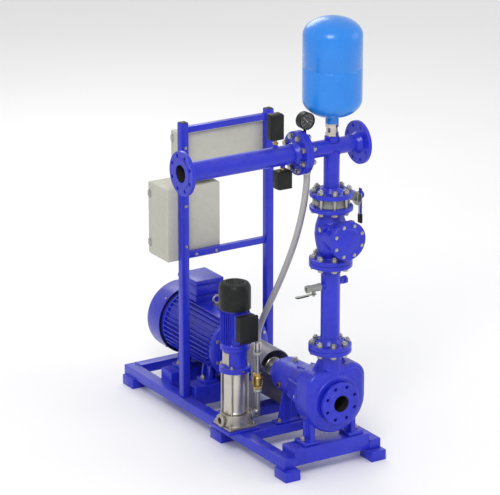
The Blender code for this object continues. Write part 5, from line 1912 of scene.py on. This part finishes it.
    def build_cowl(self) -> None:
        """Makes the vented cowl and the fan behind it."""
        low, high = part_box("jockey_fan_cowl")
        foot, radius, height, wall = self.at(low.z), (high.x - low.x) / 2, high.z - low.z, self.cowl_wall
        cowl = Shape().turn([
            (radius - wall, 0), (radius, 0), (radius, height - 0.026),
            (radius - 0.003, height - 0.014), (radius - 0.01, height - 0.004),
            (radius - 0.02, height), (radius - 0.03, height), (radius - 0.03, height - wall),
            (radius - 0.021, height - wall), (radius - 0.012, height - 0.007),
            (radius - 0.005, height - 0.016), (radius - wall, height - 0.028)], foot, Z)
        for number in range(1, 6):
            circle = (radius - 0.032) * number / 5
            cowl.turn(ring(circle - 0.0021, circle + 0.0021, height - wall, height - 0.0004), foot, Z, 48)
        for number in range(6):
            angle = math.tau * number / 6
            cowl.bar(self.at(high.z - 0.0018), ray(angle, Y), 0.003,
                     radius - 0.026, 0.0014, sides=8)
        cowl.piece("jockey_cowl_sheet", SHEET_BLACK, "jockey_fan_cowl")
        Shape().turn([(0, 0.004), (radius - 0.006, 0.004), (radius - 0.006, 0.01), (0.016, 0.012),
                      (0.014, height - 0.034), (0, height - 0.032)], foot, Z, 40).piece(
            "jockey_fan", BLACK)

    def build_terminal_box(self) -> None:
        """Makes the terminal box with its lid, screws and cable gland."""
        low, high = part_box("jockey_terminal_box")
        seam = low.y + 0.016
        box = Shape().box((low.x + 0.003, seam, low.z + 0.003), (high.x - 0.003, high.y, high.z - 0.003),
                          0.005, 3)
        box.box((low.x, low.y, low.z), (high.x, seam - 0.0008, high.z), 0.006, 3)
        box.piece("jockey_terminal_housing", BLACK, "jockey_terminal_box")
        small = Shape()
        for x in (low.x + 0.01, high.x - 0.01):
            for z in (low.z + 0.01, high.z - 0.01):
                small.rod((x, low.y + 0.0015, z), (x, low.y + 0.0002, z), 0.0036, sides=16)
        small.piece("jockey_terminal_screws", ZINC)
        spot = Vector((high.x - 0.03, seam + 0.018, low.z + 0.003))
        Shape().bar(spot, Z, 0.002, -0.006, 0.012, 6).bar(spot, Z, 0, -0.016, 0.0098, 24, 0.0015).piece(
            "jockey_cable_gland", BLACK)

    def build(self) -> None:
        """Makes the jockey pump."""
        self.build_base()
        self.build_sleeve()
        self.build_head()
        self.build_motor()
        self.build_cowl()
        self.build_terminal_box()


@dataclass
class JockeyOutlet:
    """The elbow, check valve and braided hose that lead from the jockey pump to the header."""

    pipe: float = 0.0135
    port_z: float = 0.152
    bend: float = 0.02
    valve_height: float = 0.08
    hose_radius: float = 0.015
    hose_sides: int = 20
    route: tuple[tuple[float, float, float], ...] = (
        (-0.135, 0.41, 0.47), (-0.135, 0.41, 0.485), (-0.135, 0.41, 0.51),
        (-0.135, 0.4, 0.57), (-0.135, 0.35, 0.66), (-0.134, 0.265, 0.79),
        (-0.133, 0.18, 0.93), (-0.133, 0.09, 1.1), (-0.133, 0.03, 1.26),
        (-0.133, 0.003, 1.38), (-0.133, 0.000, 1.43), (-0.133, 0.000, 1.45),
        (-0.133, 0.000, 1.47))
    steps: int = 8

    def build_pipe(self) -> None:
        """Makes the union nut, the swept elbow and the check valve."""
        low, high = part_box("jockey_outlet_pipe")
        x, y = middle("jockey_check_valve").x, middle("jockey_outlet_pipe").y
        port, bend = self.port_z, self.bend
        start = Vector((low.x, y, port))
        pipe = Shape().bar(start, X, 0, 0.008, 0.0195, edge=0.0008)
        pipe.rod(start + X * 0.004, (x - bend, y, port), self.pipe)
        elbow = bmesh.new()
        place = Matrix.Translation((x - bend, y, port)) @ Matrix.Rotation(math.pi / 2, 4, "Y")
        verts = bmesh.ops.create_circle(elbow, cap_ends=False, segments=SMALL_ROUND,
                                        radius=self.pipe + 0.0012, matrix=place)["verts"]
        edges = list({e for v in verts for e in v.link_edges})
        bmesh.ops.spin(elbow, geom=verts + edges, cent=(x - bend, y, port + bend), axis=-Y,
                       angle=math.pi / 2, steps=14, use_merge=False)
        bmesh.ops.holes_fill(elbow, edges=[e for e in elbow.edges if e.is_boundary], sides=0)
        pipe.take(elbow).rod((x, y, port + bend - 0.001), (x, y, high.z), self.pipe)
        pipe.rod((x, y, high.z - 0.018), (x, y, high.z), 0.0185, sides=6, edge=0.001)
        pipe.piece("jockey_outlet_elbow", ZINC, "jockey_outlet_pipe")

        low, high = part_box("jockey_check_valve")
        top = low.z + self.valve_height
        valve = Shape().rod((x, y, low.z), (x, y, low.z + 0.016), 0.0205, sides=6, edge=0.001)
        valve.turn([(0, 0.014), (0.0195, 0.014), (0.0255, 0.022), (0.0255, 0.058), (0.0195, 0.066),
                    (0, 0.066)], (x, y, low.z), Z, SMALL_ROUND)
        valve.rod((x, y, top - 0.016), (x, y, top), 0.0205, sides=6, edge=0.001)
        valve.piece("jockey_check_valve_brass", BRASS, "jockey_check_valve")
        stub = Shape().rod((x, y, top - 0.002), (x, y, high.z - 0.024), self.pipe)
        stub.rod((x, y, high.z - 0.028), (x, y, high.z - 0.012), 0.0208, sides=6, edge=0.001)
        stub.rod((x, y, high.z - 0.013), (x, y, high.z), 0.018, edge=0.001)
        stub.piece("hose_lower_fitting", ZINC)

    def smooth_route(self) -> list[Vector]:
        """Points along a Catmull-Rom curve through the hose's route, in the row frame.

        Returns:
            The points.
        """
        shift = Vector((middle("pressure_vessel").x, middle("pressure_vessel").y, 0))
        route = [Vector(point) + shift for point in self.route]
        ends = [2 * route[0] - route[1]] + route + [2 * route[-1] - route[-2]]
        smooth = []
        for a, b, c, d in zip(ends, ends[1:], ends[2:], ends[3:]):
            for step in range(self.steps):
                t = step / self.steps
                smooth.append(0.5 * (2 * b + (c - a) * t + (2 * a - 5 * b + 4 * c - d) * t ** 2
                                     + (3 * b - a - 3 * c + d) * t ** 3))
        return smooth + [route[-1]]

    def build_hose(self) -> None:
        """Makes the braided hose with a UV map along it, its ferrules and its upper nut."""
        route, sides = self.smooth_route(), self.hose_sides
        hose = Shape()
        uv = hose.bm.loops.layers.uv.new("along")
        reach = [0]
        for before, after in zip(route, route[1:]):
            reach.append(reach[-1] + (after - before).length)
        rings = []
        for number, spot in enumerate(route):
            way = route[min(number + 1, len(route) - 1)] - route[max(number - 1, 0)]
            place = Matrix.Translation(spot) @ side_frame(way.normalized())
            rings.append(bmesh.ops.create_circle(hose.bm, cap_ends=False, segments=sides,
                                                 radius=self.hose_radius, matrix=place)["verts"])
        for number, (first, second) in enumerate(zip(rings, rings[1:])):
            for side in range(sides):
                following = (side + 1) % sides
                face = hose.bm.faces.new((first[side], first[following], second[following], second[side]))
                corners = ((side, number), (side + 1, number), (side + 1, number + 1), (side, number + 1))
                for loop, (around, along) in zip(face.loops, corners):
                    loop[uv].uv = (around / sides, reach[along])
        for end in (rings[0], rings[-1]):
            hose.bm.faces.new(end)
        bmesh.ops.recalc_face_normals(hose.bm, faces=hose.bm.faces)
        hose.piece("hose_braid", HOSE_WIRE, "braided_hose")

        ferrules = Shape()
        for end, way in ((route[0], Z), (route[-1], -Z)):
            ferrules.turn([
                (0.0165, 0), (0.0178, 0.002), (0.0178, 0.008), (0.017, 0.011), (0.0178, 0.014),
                (0.0178, 0.02), (0.017, 0.023), (0.0178, 0.026), (0.0178, 0.032), (0.016, 0.036),
                (0.0148, 0.036), (0.0148, 0)], end, way, SMALL_ROUND)
        ferrules.piece("hose_ferrules", STAINLESS)
        low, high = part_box("hose_upper_fitting")
        x, y = middle("hose_upper_fitting").x, middle("hose_upper_fitting").y
        Shape().rod((x, y, low.z), (x, y, high.z), 0.02, sides=6, edge=0.001).piece(
            "hose_upper_nut", STAINLESS, "hose_upper_fitting")

    def build(self) -> None:
        """Makes the outlet and the hose."""
        self.build_pipe()
        self.build_hose()


@dataclass
class Studio:
    """The floor, the lights, the world and the camera."""

    floor_size: float = 120.0

    def __post_init__(self) -> None:
        """Works out the camera's axes and the point that centres the whole unit in the frame."""
        azimuth, elevation = math.radians(CAMERA_AZIMUTH_DEG), math.radians(CAMERA_ELEVATION_DEG)
        self.back = Vector((math.sin(azimuth) * math.cos(elevation),
                            -math.cos(azimuth) * math.cos(elevation), math.sin(elevation)))
        right = Z.cross(self.back).normalized()
        corners = []
        for row in frame["record"]["subparts"]:
            low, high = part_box(row["node"])
            corners += [Vector((x, y, z)) for x in (low.x, high.x) for y in (low.y, high.y)
                        for z in (low.z, high.z)]
        self.target = Vector()
        for axis in (right, self.back.cross(right)):
            reach = [corner.dot(axis) for corner in corners]
            self.target += axis * ((min(reach) + max(reach)) / 2)

    def build_floor(self) -> None:
        """Makes the pale floor."""
        mesh = bpy.data.meshes.new("floor")
        bm = bmesh.new()
        bmesh.ops.create_grid(bm, x_segments=1, y_segments=1, size=self.floor_size / 2)
        bm.to_mesh(mesh)
        bm.free()
        graph = NodeGraph("pale_floor")
        pale = graph.mix(graph.noise(0.8, 2.0), (0.88, 0.88, 0.89, 1.0), (0.92, 0.92, 0.93, 1.0))
        graph.surface(Base_Color=pale, Roughness=0.75)
        mesh.materials.append(graph.material)
        floor = bpy.data.objects.new("floor", mesh)
        bpy.context.scene.collection.objects.link(floor)

    def add_area(self, name: str, place: Point, size: float, power: float, colour: Point) -> None:
        """Adds one soft area light that faces the object.

        Args:
            name: the light's name.
            place: where it stands.
            size: its width.
            power: its power in watts.
            colour: its colour.
        """
        data = bpy.data.lights.new(name, "AREA")
        data.size = size
        data.energy = power
        data.color = colour
        lamp = bpy.data.objects.new(name, data)
        lamp.location = Vector(place)
        lamp.rotation_euler = (self.target - lamp.location).to_track_quat("-Z", "Y").to_euler()
        bpy.context.scene.collection.objects.link(lamp)

    def build_light(self) -> None:
        """Adds the white world and three soft lights."""
        world = bpy.data.worlds.new("studio")
        bpy.context.scene.world = world
        world.use_nodes = True
        background = world.node_tree.nodes["Background"]
        background.inputs["Color"].default_value = (1.0, 1.0, 1.0, 1.0)
        background.inputs["Strength"].default_value = 0.8
        self.add_area("key", (-3.4, -4.4, 5.6), 2.2, 190.0, (1.0, 0.985, 0.96))
        self.add_area("fill", (5.0, -3.0, 2.8), 3.2, 40.0, (0.95, 0.97, 1.0))
        self.add_area("back", (1.5, 5.0, 4.5), 3.0, 90.0, (1.0, 1.0, 1.0))

    def build_camera(self) -> None:
        """Places a long lens at the viewing angle, framed on the whole object."""
        data = bpy.data.cameras.new("camera")
        data.sensor_width = SENSOR_WIDTH
        data.sensor_fit = "HORIZONTAL"
        data.lens = CAMERA_DISTANCE * SENSOR_WIDTH * PIXELS_PER_METRE / FRAME_WIDTH_PX
        data.clip_end = 200.0
        camera = bpy.data.objects.new("camera", data)
        camera.location = self.target + self.back * CAMERA_DISTANCE
        camera.rotation_euler = self.back.to_track_quat("Z", "Y").to_euler()
        bpy.context.scene.collection.objects.link(camera)
        bpy.context.scene.camera = camera

    def build(self) -> None:
        """Makes the studio."""
        self.build_camera()
        self.build_floor()
        self.build_light()
        bpy.context.scene.view_settings.view_transform = "Standard"


def main() -> None:
    """Builds every sub-assembly in order."""
    logging.basicConfig(level=logging.INFO)
    makers: list[Callable[[], object]] = [
        Studio, Skid, MainPump, Coupling, MainMotor, RiserPipe, RiserTap, CheckValve, ButterflyValve,
        Header, Vessel, Instruments, Rack,
        lambda: Cabinet("controller_cabinet", ("rack_post_left", "rack_post_right")),
        lambda: Cabinet("jockey_cabinet", ("rack_lower_rail", "rack_post_left")),
        JockeyPump, JockeyOutlet,
    ]
    for maker in makers:
        part = maker()
        part.build()
        LOG.info("%s built", type(part).__name__)


if __name__ == "__main__":
    main()
